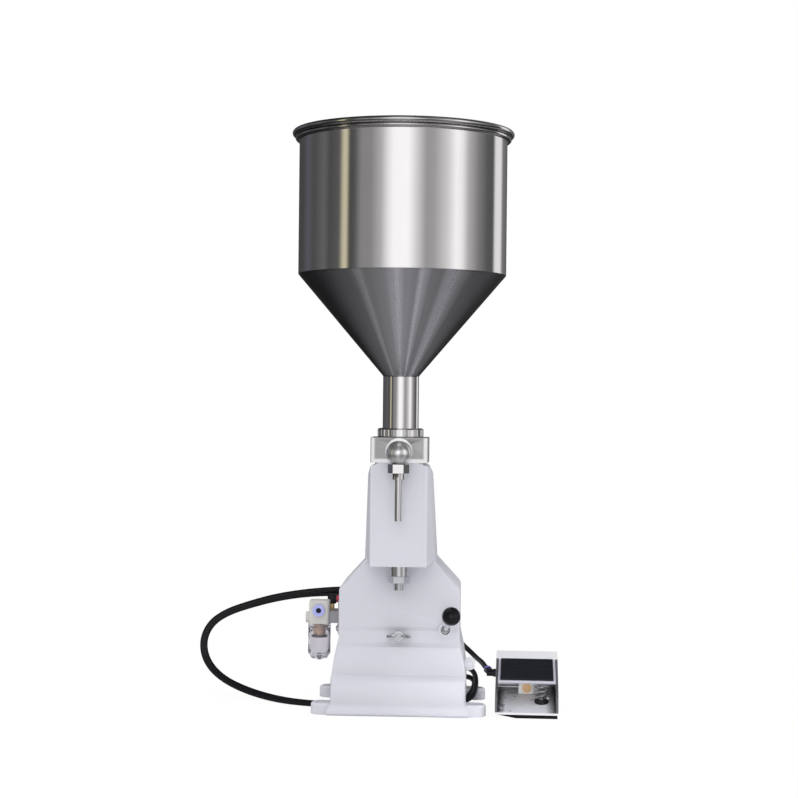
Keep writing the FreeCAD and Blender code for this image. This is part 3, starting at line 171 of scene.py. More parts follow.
# Shader maths
class Value:
    """A socket in a node tree, so that arithmetic on it adds Math nodes."""

    def __init__(self, tree, socket):
        self.tree = tree
        self.socket = socket

    def math(self, operation, *others, swapped=False):
        node = self.tree.nodes.new("ShaderNodeMath")
        node.operation = operation
        terms = [self, *others]
        if swapped:
            terms.reverse()
        for term, socket in zip(terms, node.inputs):
            if isinstance(term, Value):
                self.tree.links.new(term.socket, socket)
            else:
                socket.default_value = term
        return Value(self.tree, node.outputs[0])

    def __add__(self, other):
        return self.math("ADD", other)

    __radd__ = __add__

    def __mul__(self, other):
        return self.math("MULTIPLY", other)

    __rmul__ = __mul__

    def __sub__(self, other):
        return self.math("SUBTRACT", other)

    def __rsub__(self, other):
        return self.math("SUBTRACT", other, swapped=True)

    def __truediv__(self, other):
        return self.math("DIVIDE", other)

    def clamped(self):
        return self.math("MAXIMUM", 0.0).math("MINIMUM", 1.0)


def set_stops(ramp, stops):
    """Ramp from (place, grey or colour) pairs in rising order."""
    ramp.elements[1].position = stops[-1][0]
    ramp.elements[0].position = stops[0][0]
    for place, _ in stops[1:-1]:
        ramp.elements.new(place)
    for element, (_, tone) in zip(ramp.elements, stops):
        element.color = (*tone, 1.0) if isinstance(tone, tuple) else (tone, tone, tone, 1.0)


class Tree:
    """A node tree with short calls for adding nodes."""

    def __init__(self, tree):
        self.tree = tree

    def feed(self, socket, value):
        """Links a value to a socket, or sets a constant on it."""
        if isinstance(value, Value):
            self.tree.links.new(value.socket, socket)
        else:
            socket.default_value = value

    def add(self, kind, settings=None, out=0, **inputs):
        """New node; its inputs are named, or i and a number."""
        node = self.tree.nodes.new("ShaderNode" + kind)
        for name, value in (settings or {}).items():
            if name == "stops":
                set_stops(node.color_ramp, value)
            else:
                setattr(node, name, value)
        for name, value in inputs.items():
            numbered = name[0] == "i" and name[1:].isdigit()
            self.feed(node.inputs[int(name[1:]) if numbered else name], value)
        return Value(self.tree, node.outputs[out])

    def coords(self, output="Object"):
        node = self.tree.nodes.new("ShaderNodeTexCoord")
        return Value(self.tree, node.outputs[output])

    def split(self, vector):
        node = self.tree.nodes.new("ShaderNodeSeparateXYZ")
        self.tree.links.new(vector.socket, node.inputs[0])
        return [Value(self.tree, output) for output in node.outputs]

    def join(self, x, y, z):
        return self.add("CombineXYZ", i0=x, i1=y, i2=z)

    def noise(self, vector, scale, detail=3.0):
        return self.add("TexNoise", Vector=vector, Scale=scale, Detail=detail, Roughness=0.55)

    def mix(self, amount, first, second):
        return self.add("Mix", {"data_type": "RGBA"}, out=2, i0=amount, i6=first, i7=second)

    def rays(self, *kinds):
        """One value for each kind of ray, such as Camera, that is 1 for rays of that kind."""
        node = self.tree.nodes.new("ShaderNodeLightPath")
        return [Value(self.tree, node.outputs["Is " + kind + " Ray"]) for kind in kinds]

    def close(self, kind, surface):
        """Output node of a material or a world."""
        node = self.tree.nodes.new("ShaderNodeOutput" + kind)
        self.feed(node.inputs["Surface"], surface)


class Finish(Tree):
    """A material with one shader, its constants set on its own sockets."""

    def __init__(self, name, colour, roughness, **constants):
        self.material = bpy.data.materials.new(name)
        self.material.use_nodes = True
        super().__init__(self.material.node_tree)
        self.shader = next(n for n in self.tree.nodes if n.type == "BSDF_PRINCIPLED")
        self.set(**{"Base Color": (*colour, 1.0), "Roughness": roughness})
        self.set(**{key.replace("_", " "): value for key, value in constants.items()})
        self.material.diffuse_color = (*colour, 1.0)

    def set(self, **values):
        for name, value in values.items():
            self.feed(self.shader.inputs[name], value)

    def bump(self, height, depth, strength=1.0):
        self.set(Normal=self.add("Bump", Strength=strength, Distance=depth, Height=height))


def painted(name, colour, roughness, mottle=0.03, peel=0.00004):
    """Sprayed paint on a casting or sheet: a little uneven in tone, with a fine orange peel."""
    finish = Finish(name, colour, roughness)
    place = finish.coords()
    cloud = finish.noise(place, 9.0, 4.0)
    darker = tuple(c * (1.0 - mottle * 2.2) for c in colour)
    lighter = tuple(min(1.0, c * (1.0 + mottle)) for c in colour)
    finish.set(**{"Base Color": finish.mix(cloud, (*darker, 1.0), (*lighter, 1.0))})
    finish.set(Roughness=roughness - 0.06 + 0.12 * finish.noise(place, 40.0))
    finish.bump(finish.noise(place, 700.0, 2.0), peel, 0.5)
    return finish.material


# Deck of the pedal: where the painted light that makes its back paler begins, and the painted shade along both
# walls, which stand a little aslant
painted_light_from_y = -0.070
painted_light_rate = 22.0
lane_slant = 0.03
left_painted_shade_x = 0.1148
left_painted_shade_rate = 150.0
right_painted_shade_x = 0.1770
right_painted_shade_rate = 90.0
painted_shade_tone = (0.09, 0.09, 0.10, 1.0)


def shaded_deck(name, front, back):
    """Deck of the pedal: painted light makes it paler to the back, painted shade makes it darker along both
    walls.
    """
    finish = Finish(name, front, 0.30)
    place = finish.coords()
    x, y, _ = finish.split(place)
    # Painted light: the colour turns paler towards the back of the deck.
    depth = ((y - painted_light_from_y) * painted_light_rate).clamped()
    tone = finish.mix(depth, (*front, 1.0), (*back, 1.0))
    lane = x - lane_slant * y
    # Painted shade: dark strips along both walls of the deck.
    left = ((lane - left_painted_shade_x) * left_painted_shade_rate).clamped()
    right = ((right_painted_shade_x - lane) * right_painted_shade_rate).clamped()
    unshaded_share = left * right * (0.8 + 0.3 * finish.noise(place, 60.0)).clamped()
    finish.set(**{"Base Color": finish.mix(unshaded_share, painted_shade_tone, tone)})
    finish.set(Roughness=0.24 + 0.12 * finish.noise(place, 40.0))
    finish.bump(finish.noise(place, 700.0, 2.0), 0.00002, 0.5)
    return finish.material


# Painted reflections of the studio on the cone, around it from behind over its left side, front and right side
PAINTED_REFLECTION_STREAKS = [
    (0.0, 0.25), (0.04, 0.75), (0.07, 0.30), (0.13, 0.42), (0.16, 0.95), (0.185, 0.35), (0.25, 0.10),
    (0.30, 0.18), (0.36, 0.22), (0.424, 0.30), (0.436, 0.80), (0.448, 0.44), (0.48, 0.60), (0.497, 1.0),
    (0.512, 0.58), (0.528, 0.46), (0.539, 0.95), (0.551, 0.38), (0.568, 0.36), (0.583, 0.82), (0.594, 1.0),
    (0.608, 0.60), (0.625, 0.26), (0.68, 0.10), (0.75, 0.05), (0.82, 0.40), (0.87, 0.80), (0.91, 0.30),
    (1.0, 0.25),
]
painted_reflection_gain = 1.8
painted_reflection_tone = 0.42
painted_reflection_edge_rate = 500.0


def steel(name, colour, roughness, grain=None, grain_scale=900.0, variation=0.1, scratch_depth=0.0000025,
          sway=0.0, sway_scale=7.0, painted_reflection=0.0, painted_reflection_panel=None, metallic=1.0):
    """Bright metal with a fine grain, plain or in rings, and where asked a sway, streaks of painted reflection
    or a dark panel of painted reflection.
    """
    finish = Finish(name, colour, roughness, Metallic=metallic)
    place = finish.coords()
    x, y, z = finish.split(place)
    lines = finish.join(0.0, 0.0, z) if grain == "rings" else place
    scratch = finish.noise(lines, grain_scale, 2.0)
    smudge = finish.noise(place, 14.0, 4.0)
    gloss = roughness - variation / 2 + variation * scratch + 0.05 * smudge
    dull = tuple(c * 0.9 for c in colour)
    tone = finish.mix(smudge, (*dull, 1.0), (*colour, 1.0))
    # Painted reflection: light and dark streaks in the colour by angle around the cone, with the roughness
    # following them.
    if painted_reflection > 0.0:
        away = y - head_axis_y
        radius = (x * x + away * away).math("SQRT") + 0.0001
        fan = finish.join(x / radius, away / radius, z * 0.4)
        sway_round = 0.02 * (finish.noise(fan, 9.0) - 0.5)
        turn = x.math("ARCTAN2", -1.0 * away) * (0.5 / math.pi) + 0.5 + sway_round
        strip = finish.add("ValToRGB", {"stops": PAINTED_REFLECTION_STREAKS}, Fac=turn)
        strip = strip * (0.85 + 0.3 * finish.noise(fan, 22.0))
        dark = tuple(c * (1.0 - painted_reflection) for c in colour)
        light = tuple(min(1.0, c * (1.0 + painted_reflection * painted_reflection_gain)) for c in colour)
        tone = finish.mix(strip, (*dark, 1.0), (*light, 1.0))
        gloss = gloss + 0.08 * (1.0 - strip)
    # Painted reflection: a darker panel across the middle of the valve block's front, with a lighter rim.
    if painted_reflection_panel:
        half_width, middle, half_height = painted_reflection_panel
        inside_x = ((half_width - x.math("ABSOLUTE")) * painted_reflection_edge_rate).clamped()
        inside_z = ((half_height - (z - middle).math("ABSOLUTE")) * painted_reflection_edge_rate).clamped()
        shade = inside_x * inside_z * (0.55 + 0.9 * finish.noise(place, 26.0, 2.0)).clamped()
        tone = finish.mix(shade, tone, tuple(c * painted_reflection_tone for c in colour) + (1.0,))
    finish.set(**{"Base Color": tone})
    finish.set(Roughness=gloss)
    height = scratch * scratch_depth
    if sway > 0.0:
        height = height + finish.noise(place, sway_scale, 1.0) * sway
    finish.bump(height, 1.0)
    return finish.material


def moulded(name, colour, roughness, grain=0.00003, **constants):
    """Moulded plastic or rubber with a fine grain."""
    finish = Finish(name, colour, roughness, **constants)
    place = finish.coords()
    speck = finish.noise(place, 1400.0, 2.0)
    cloud = finish.noise(place, 30.0, 3.0)
    finish.set(Roughness=roughness - 0.05 + 0.1 * cloud)
    paler = tuple(min(1.0, c * 1.25 + 0.002) for c in colour)
    finish.set(**{"Base Color": finish.mix(cloud, (*colour, 1.0), (*paler, 1.0))})
    finish.bump(speck, grain, 0.4)
    return finish.material


def sintered(name, colour):
    """Bronze grains pressed into a sleeve."""
    finish = Finish(name, colour, 0.5, Metallic=0.3)
    grains = finish.add("TexVoronoi", Vector=finish.coords(), Scale=1500.0)
    dark = tuple(c * 0.65 for c in colour)
    finish.set(**{"Base Color": finish.mix(grains, (*colour, 1.0), (*dark, 1.0))})
    finish.bump(grains, 0.0001, 0.6)
    return finish.material


casting_paint = painted("casting_paint", (0.655, 0.657, 0.715), 0.36)
sheet_paint = painted("sheet_paint", (0.76, 0.76, 0.775), 0.42, peel=0.00003)
# The deck's white back colour is painted light; its dark strips along the walls are painted shade.
deck_paint = shaded_deck("deck_paint", (0.70, 0.70, 0.76), (1.0, 1.0, 1.0))
tread_paint = painted("tread_paint", (0.50, 0.49, 0.56), 0.40, peel=0.00003)
# Painted shade: dark paint for the front edges and inner faces of the pedal's white side walls, which lie in
# shade.
wall_edge_painted_shade = painted("wall_edge_painted_shade", (0.11, 0.11, 0.125), 0.35, mottle=0.12, peel=0.00002)
inner_wall_painted_shade = painted("inner_wall_painted_shade", (0.16, 0.16, 0.175), 0.30, mottle=0.15, peel=0.00002)
hopper_wall_steel = steel("hopper_wall_steel", (0.80, 0.775, 0.785), 0.07, "rings", variation=0.03,
                          sway=0.00035)
# The cone's steel is darker than the wall's as a painted reflection of the dark floor, and it carries painted
# reflection streaks.
hopper_cone_steel = steel("hopper_cone_steel", (0.42, 0.41, 0.44), 0.24, "rings", 800.0, 0.06, 0.0,
                          painted_reflection=0.62)
polished_steel = steel("polished_steel", (0.80, 0.785, 0.79), 0.10, variation=0.05)
# The valve block's steel carries a dark painted reflection across its front.
ground_steel = steel("ground_steel", (0.93, 0.91, 0.92), 0.26, variation=0.05, sway=0.0003,
                     painted_reflection_panel=(0.0280, 0.2990, 0.0128), metallic=0.85)
nose_steel = steel("nose_steel", (0.93, 0.92, 0.93), 0.20, grain_scale=260.0, variation=0.12, sway=0.0011,
                   sway_scale=55.0, metallic=0.9)
bright_steel = steel("bright_steel", (0.80, 0.80, 0.82), 0.22)
zinc_steel = steel("zinc_steel", (0.74, 0.75, 0.79), 0.30)
spring_wire = steel("spring_wire", (0.80, 0.80, 0.82), 0.18)
satin_aluminium = steel("satin_aluminium", (0.72, 0.72, 0.74), 0.38)
turned_brass = steel("turned_brass", (0.78, 0.58, 0.27), 0.24)
sintered_bronze = sintered("sintered_bronze", (1.0, 0.66, 0.42))
ground_bronze = steel("ground_bronze", (0.95, 0.63, 0.34), 0.5, metallic=0.2)
black_knob = moulded("black_knob", (0.006, 0.006, 0.008), 0.14, 0.00001, Specular_IOR_Level=0.3)
black_moulding = moulded("black_moulding", (0.010, 0.010, 0.013), 0.42, Specular_IOR_Level=0.35)
hose_skin = moulded("hose_skin", (0.0065, 0.0068, 0.0095), 0.34, 0.00001, Specular_IOR_Level=0.3)
# Rubber for the piston seals, and for the dark disc of painted shade in the filter port.
seal_rubber = moulded("seal_rubber", (0.018, 0.018, 0.020), 0.6)
mat_rubber = moulded("mat_rubber", (0.0075, 0.0095, 0.0135), 0.62, 0.00008, Specular_IOR_Level=0.35)
pad_rubber = moulded("pad_rubber", (0.004, 0.005, 0.006), 0.7, 0.00008, Specular_IOR_Level=0.3)
bracket_grey = moulded("bracket_grey", (0.30, 0.29, 0.32), 0.4)
red_moulding = moulded("red_moulding", (0.50, 0.035, 0.075), 0.28)
blue_moulding = moulded("blue_moulding", (0.20, 0.18, 0.55), 0.30)
port_moulding = moulded("port_moulding", (0.36, 0.39, 0.74), 0.30)
white_moulding = moulded("white_moulding", (0.97, 0.97, 0.97), 0.34)
grey_moulding = moulded("grey_moulding", (0.66, 0.67, 0.70), 0.45)
drain_moulding = moulded("drain_moulding", (0.42, 0.42, 0.44), 0.45)
filter_paint = painted("filter_paint", (0.61, 0.595, 0.56), 0.4)
bowl_glass = Finish("bowl_glass", (0.78, 0.765, 0.81), 0.05, Transmission_Weight=0.93, IOR=1.42).material


# Hoses: one smooth curve each, over listed points
pedal_hose_route = [
    (0.047, 0.0896, 0.034), (0.0615, 0.0896, 0.034), (0.0728, 0.0856, 0.0336), (0.0812, 0.0772, 0.0315),
    (0.0855, 0.0650, 0.0280), (0.0870, 0.0485, 0.0235), (0.0868, 0.0300, 0.0168), (0.084, 0.0125, 0.0106),
    (0.0735, -0.0025, 0.0056), (0.0575, -0.0138, 0.0038), (0.034, -0.0205, 0.0034), (0, -0.023, 0.0034),
    (-0.040, -0.025, 0.0034), (-0.078, -0.0252, 0.0034), (-0.110, -0.018, 0.0034), (-0.139, -0.0025, 0.0035),
    (-0.166, 0.0195, 0.0052), (-0.190, 0.037, 0.0096), (-0.213, 0.0495, 0.0185), (-0.230, 0.057, 0.0315),
    (-0.239, 0.062, 0.048), (-0.2395, 0.0655, 0.067), (-0.2305, 0.068, 0.0845), (-0.2125, 0.0695, 0.097),
    (-0.188, 0.070, 0.106), (-0.154, 0.070, 0.116), (-0.118, 0.068, 0.1223), (-0.084, 0.0658, 0.1258),
    (-0.063, 0.0643, 0.1266), (-0.033, 0.0642, 0.1261), (-0.012, 0.071, 0.123), (0.008, 0.0775, 0.115),
    (0.027, 0.082, 0.103), (0.043, 0.0845, 0.088), (0.0575, 0.0847, 0.0728), (0.0715, 0.0795, 0.0598),
    (0.0815, 0.0695, 0.0522), (0.0868, 0.056, 0.0488), (0.0905, 0.041, 0.0480), (0.0942, 0.026, 0.0470),
    (0.0978, 0.0103, 0.0439), (0.1024, -0.004, 0.0419),
]
return_hose_route = [
    (0.047, 0.0896, 0.022), (0.0615, 0.0896, 0.022), (0.0728, 0.0856, 0.022), (0.0812, 0.0772, 0.0214),
    (0.0850, 0.0650, 0.0195), (0.0850, 0.0480, 0.0168), (0.0815, 0.0300, 0.0112), (0.0755, 0.0140, 0.0063),
    (0.0655, -0.0008, 0.0038), (0.0498, -0.0104, 0.0034), (0.028, -0.0144, 0.0034), (-0.002, -0.016, 0.0034),
    (-0.040, -0.0183, 0.0034), (-0.076, -0.0185, 0.0034), (-0.106, -0.0115, 0.0034), (-0.1335, 0.004, 0.0035),
    (-0.161, 0.0258, 0.0052), (-0.1865, 0.0445, 0.0096), (-0.2105, 0.0568, 0.0180), (-0.2275, 0.0640, 0.0310),
    (-0.2370, 0.0690, 0.0475), (-0.2376, 0.0725, 0.066), (-0.2285, 0.0750, 0.0826), (-0.2105, 0.0765, 0.0942),
    (-0.186, 0.0768, 0.1028), (-0.1525, 0.0762, 0.1122), (-0.1165, 0.0738, 0.1182), (-0.084, 0.0690, 0.1203),
    (-0.063, 0.0656, 0.1200), (-0.033, 0.0653, 0.1187), (-0.014, 0.0655, 0.117), (0.011, 0.0655, 0.117),
]


def lay_hose(name, route, node):
    curve = bpy.data.curves.new(name, "CURVE")
    curve.dimensions = "3D"
    curve.resolution_u = 10
    curve.bevel_depth = hose_diameter / 2
    curve.bevel_resolution = 5
    curve.use_fill_caps = True
    spline = curve.splines.new("NURBS")
    spline.points.add(len(route) - 1)
    for point, place in zip(spline.points, route):
        point.co = (*place, 1.0)
    spline.order_u = 3
    spline.use_endpoint_u = True
    curve.materials.append(hose_skin)
    hose = bpy.data.objects.new(name, curve)
    bpy.context.scene.collection.objects.link(hose)
    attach(hose, "machine")
    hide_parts(node)


lay_hose("pedal_hose", pedal_hose_route, "air_hose_a")
lay_hose("return_hose", return_hose_route, "air_hose_b")


# CAD pieces: a clean copy with softened edges, in place of the node
def clean_copy(node):
    """Merged copy of a node's triangles, with its flat faces whole again."""
    shape = bmesh.new()
    shape.from_mesh(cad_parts[node].data)
    bmesh.ops.remove_doubles(shape, verts=shape.verts, dist=0.000002)
    bmesh.ops.dissolve_limit(shape, angle_limit=math.radians(0.05), verts=shape.verts, edges=shape.edges)
    return shape


def rolled(shape, edges, radius, segments, **settings):
    """Rounds the given edges of a shape."""
    bmesh.ops.bevel(shape, geom=edges, offset=radius, segments=segments, profile=0.5, affect="EDGES",
                    material=-1, **settings)


def round_long_edges(shape, spared):
    """Rolls over the long convex edges of a casting, as its pattern has them."""
    long_edges = [edge for edge in shape.edges if len(edge.link_faces) == 2 and edge.calc_length() > long_edge
                  and edge.is_convex and edge not in spared and edge.calc_face_angle() > long_edge_turn]
    rolled(shape, long_edges, casting_round, casting_round_steps, offset_type="OFFSET", clamp_overlap=False)


def placed(name, mesh):
    """Object of a mesh, linked into the scene."""
    piece = bpy.data.objects.new(name, mesh)
    bpy.context.scene.collection.objects.link(piece)
    return piece


def stands_for(piece, body, slot, *nodes):
    """Says which body a piece rides on and which nodes it replaces; the slot argument is not used."""
    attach(piece, body)
    if nodes:
        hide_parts(*nodes)


def dressed(node, body, slot, finishes, edge, chooser=None, change=None):
    """Copy of a node with soft edges and smooth shading, in its place."""
    mesh = bpy.data.meshes.new("dressed_" + node)
    shape = clean_copy(node)
    if change:
        change(shape)
    shape.to_mesh(mesh)
    shape.free()
    mesh.materials.clear()
    for one in finishes:
        mesh.materials.append(one)
    for face in mesh.polygons:
        face.use_smooth = True
        face.material_index = chooser(face, mesh) if chooser else 0
    mesh.set_sharp_from_angle(angle=crease)
    piece = placed("dressed_" + node, mesh)
    if edge > 0.0:
        bevel = piece.modifiers.new("soft_edges", "BEVEL")
        bevel.width = edge
        bevel.segments = soft_edge_steps
        bevel.limit_method = "ANGLE"
        bevel.angle_limit = crease
        bevel.harden_normals = True
    stands_for(piece, body, slot, node)


def finished(name, shape, finishes, angle):
    """Object from a bmesh: normals out, smooth shading with sharp corners."""
    bmesh.ops.remove_doubles(shape, verts=shape.verts, dist=0.000005)
    bmesh.ops.recalc_face_normals(shape, faces=shape.faces)
    mesh = bpy.data.meshes.new(name)
    shape.to_mesh(mesh)
    shape.free()
    for one in finishes:
        mesh.materials.append(one)
    for face in mesh.polygons:
        face.use_smooth = True
    mesh.set_sharp_from_angle(angle=math.radians(angle))
    return placed(name, mesh)


def spun(profile, steps):
    """Solid of revolution from (radius, height) points around the upright axis of the head."""
    centre = (0.0, head_axis_y, 0.0)
    shape = bmesh.new()
    points = [shape.verts.new((r, head_axis_y, z)) for r, z in profile]
    edges = [shape.edges.new(pair) for pair in zip(points, points[1:] + points[:1])]
    bmesh.ops.spin(shape, geom=points + edges, cent=centre, axis=upward, angle=2 * math.pi, steps=steps,
                   use_merge=True)
    return shape


def held(outline):
    """Outline with a point near both ends of each long run, which keeps its shading flat."""
    inset = 0.0008
    least = 0.004
    points = []
    for start, end in zip(outline, outline[1:] + outline[:1]):
        run = Vector(end) - Vector(start)
        points.append(start)
        if run.length > least:
            step = run * (inset / run.length)
            points += [tuple(Vector(start) + step), tuple(Vector(end) - step)]
    return points


def arc(centre_r, centre_z, radius, start, end, count):
    """Points of a round stretch of a profile, angles in degrees."""
    angles = [math.radians(start + (end - start) * k / count) for k in range(count + 1)]
    return [(centre_r + radius * math.cos(a), centre_z + radius * math.sin(a)) for a in angles]


# Hopper: spun sheet cylinder with a rolled rim, a welded cone and a neck
def make_hopper():
    low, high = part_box("hopper")
    foot = low[2]
    top = high[2]
    bead_centre = high[0] - rim_bead
    bead_z = top - rim_bead
    wall = hopper_radius - hopper_sheet
    neck_wall = neck_radius - hopper_sheet
    outline = [(neck_wall, foot), (foot_flange_radius, foot), (foot_flange_radius, foot + foot_flange_height),
               (neck_radius + seam_ease, foot + flange_fillet_foot), (neck_radius, foot + flange_fillet_top),
               (neck_radius, cone_foot_z - seam_ease), (neck_radius + seam_ease, cone_foot_z + seam_ease)]
    outline += [(hopper_radius - shoulder_in, cone_top_z - shoulder_in),
                (hopper_radius - shoulder_edge, cone_top_z + seam_ease),
                (hopper_radius, cone_top_z + shoulder_top)]
    outline += [(hopper_radius, top - lip_foot), (hopper_radius + sheet_ease, top - lip_corner)]
    outline += arc(lip_radius - lip_bead, top - lip_drop, lip_bead, -55, 62, 10)
    outline += arc(bead_centre, bead_z, rim_bead, 232, 360 + 196, 22)
    outline += [(wall, bead_z - rim_seam), (wall, cone_top_z + sheet_ease),
                (neck_wall, cone_foot_z + sheet_ease)]
    shape = spun(held(outline), hopper_steps)
    for face in shape.faces:
        face.material_index = 1 if cone_foot_z < face.calc_center_median().z < cone_top_z else 0
    hopper = finished("hopper_sheet", shape, [hopper_wall_steel, hopper_cone_steel], 28.0)
    stands_for(hopper, "machine", "hopper_steel", "hopper")


make_hopper()


# Head: clamp nut with milled notches
def from_axis(face):
    """Middle of a face, from the upright axis of the head."""
    middle = face.calc_center_median()
    return middle.x, middle.y - head_axis_y


def turn_of(face):
    across, away = from_axis(face)
    return math.atan2(away, across)


def make_ring_nut():
    low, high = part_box("ring_nut")
    outer = high[1] - head_axis_y
    foot = low[2]
    top = high[2]
    bore = neck_radius + neck_clearance
    ledge_z = foot + nut_ledge
    outline = [(spigot_bore, foot), (outer - nut_cut, foot), (outer, foot + nut_cut),
               (outer, top - 2 * nut_cut), (outer - 2 * nut_cut, top), (bore, top), (bore, ledge_z), (spigot_bore, ledge_z)]
    shape = spun(outline, 2 * nut_notches)
    bmesh.ops.recalc_face_normals(shape, faces=shape.faces)
    rim = [face for face in shape.faces
           if abs(face.normal.z) < 0.1 and math.hypot(*from_axis(face)) > outer - nut_cut]
    rim.sort(key=turn_of)
    bmesh.ops.inset_individual(shape, faces=rim[::2], thickness=notch_margin, depth=-notch_depth)
    nut = finished("clamp_nut", shape, [polished_steel], 25.0)
    stands_for(nut, "machine", "polished_steel", "ring_nut")


make_ring_nut()


# Filter head: rounded block with a plug boss on its left, and a dark disc of painted shade in its port
def quarter_turn(axis):
    return Matrix.Rotation(math.pi / 2, 3, axis)


def make_filter_head():
    low, high = (Vector(corner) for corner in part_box("filter_head"))
    shape = bmesh.new()
    bmesh.ops.create_cube(shape, size=1.0)
    bmesh.ops.scale(shape, vec=high - low, verts=shape.verts)
    bmesh.ops.translate(shape, vec=(low + high) / 2, verts=shape.verts)
    upright = [edge for edge in shape.edges if abs((edge.verts[0].co - edge.verts[1].co).z) > 0.001]
    rolled(shape, upright, block_corner, 4)
    rims = [edge for edge in shape.edges if len(edge.link_faces) == 2 and edge.calc_face_angle() > 1.0]
    rolled(shape, rims, block_rim, 3)
    boss = bmesh.ops.create_cone(shape, cap_ends=True, segments=40, radius1=boss_radius, radius2=boss_radius,
                                 depth=boss_length)
    bmesh.ops.rotate(shape, verts=boss["verts"], cent=origin, matrix=quarter_turn("Y"))
    seat = Vector((low.x - boss_out, (low.y + high.y) / 2, low.z + boss_rise))
    bmesh.ops.translate(shape, vec=seat, verts=boss["verts"])
    end_edges = [edge for edge in shape.edges if all(vert.co.x < low.x - boss_end for vert in edge.verts)]
    rolled(shape, end_edges, boss_round, 2)
    head = finished("filter_block", shape, [filter_paint], 40.0)
    stands_for(head, "machine", "grey_plastic", "filter_head")
    return low.y


# Painted shade: a dark rubber disc stands for the shade deep inside the port's bore.
def make_port_shadow_disc(block_front):
    port_low, port_high = (Vector(corner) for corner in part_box("inlet_fitting"))
    middle = (port_low + port_high) / 2
    shape = bmesh.new()
    bmesh.ops.create_cone(shape, cap_ends=True, segments=36, radius1=port_shadow_radius, radius2=port_shadow_radius,
                          depth=port_shadow_height)
    ends = [face for face in shape.faces if abs(face.normal.z) > 0.9]
    bmesh.ops.inset_region(shape, faces=ends, thickness=port_shadow_lip, depth=-port_shadow_dish)
    bmesh.ops.rotate(shape, verts=shape.verts, cent=origin, matrix=quarter_turn("X"))
    seat = Vector((middle.x, block_front - port_shadow_out, middle.z))
    bmesh.ops.translate(shape, vec=seat, verts=shape.verts)
    shadow_disc = finished("port_shadow_disc", shape, [seal_rubber], 40.0)
    stands_for(shadow_disc, "machine", "blue_plastic")


make_port_shadow_disc(make_filter_head())


# Changes to copies of CAD pieces
def cast_edges(shape):
    """Shallow band across the front and rolled corners."""
    for vert in shape.verts:
        if abs(vert.co.y - band_y) < band_slack and band_foot < vert.co.z < band_top:
            vert.co.y -= band_out
            if vert.co.z > band_top - band_lip:
                vert.co.z -= band_lip_drop
    band = [edge for edge in shape.edges if all(sharp_foot < vert.co.z < sharp_top for vert in edge.verts)]
    crown = [edge for edge in shape.edges if all(vert.co.z > crown_foot for vert in edge.verts)]
    round_long_edges(shape, set(band + crown))


def lower_sill(shape):
    """Front edge of the pedal's deck rolled down to the pad."""
    for vert in shape.verts:
        if vert.co.x > pedal_left and vert.co.y < sill_back and sill_foot < vert.co.z < sill_top:
            vert.co.z -= sill_drop


def trim_lip(shape):
    """Narrow folded edge along the front of the tread."""
    lip_z = min(vert.co.z for vert in shape.verts if vert.co.y < tread_lip_back)
    for vert in shape.verts:
        if vert.co.y < tread_lip_back and vert.co.z < lip_z + tread_lip_foot:
            vert.co.z += tread_lip_rise


def slim_pedal_elbow(shape):
    """The fitting at the pedal's wall is a small one."""
    for vert in shape.verts:
        if vert.co.x > pedal_elbow_x:
            vert.co.z = pedal_port_z + (vert.co.z - pedal_port_z) * pedal_port_share


def short_drain(shape):
    """The drain under the bowl, shortened from below."""
    top = max(vert.co.z for vert in shape.verts)
    for vert in shape.verts:
        vert.co.z = top + (vert.co.z - top) * drain_share


# Finishes of the pedal housing, in the order of its materials; the dark ones on its wall edges and inner walls
# are painted shade
SHEET, DECK, WALL_EDGE_SHADE, INNER_WALL_SHADE = range(4)


def housing_zone(face, mesh):
    """Finish of one face of the pedal housing, with painted shade on the front edges and inner faces of its
    walls.
    """
    xs = [mesh.vertices[index].co.x for index in face.vertices]
    if face.normal.z > 0.9 and face.center.z < deck_top:
        return DECK
    if face.normal.y < -0.3 and max(xs) - min(xs) < wall_edge:
        return WALL_EDGE_SHADE
    in_right_wall = face.normal.x < -0.9 and face.center.x > right_wall_from
    in_left_wall = face.normal.x > 0.9 and left_wall_from < face.center.x < left_wall_to
    return INNER_WALL_SHADE if in_right_wall or in_left_wall else SHEET


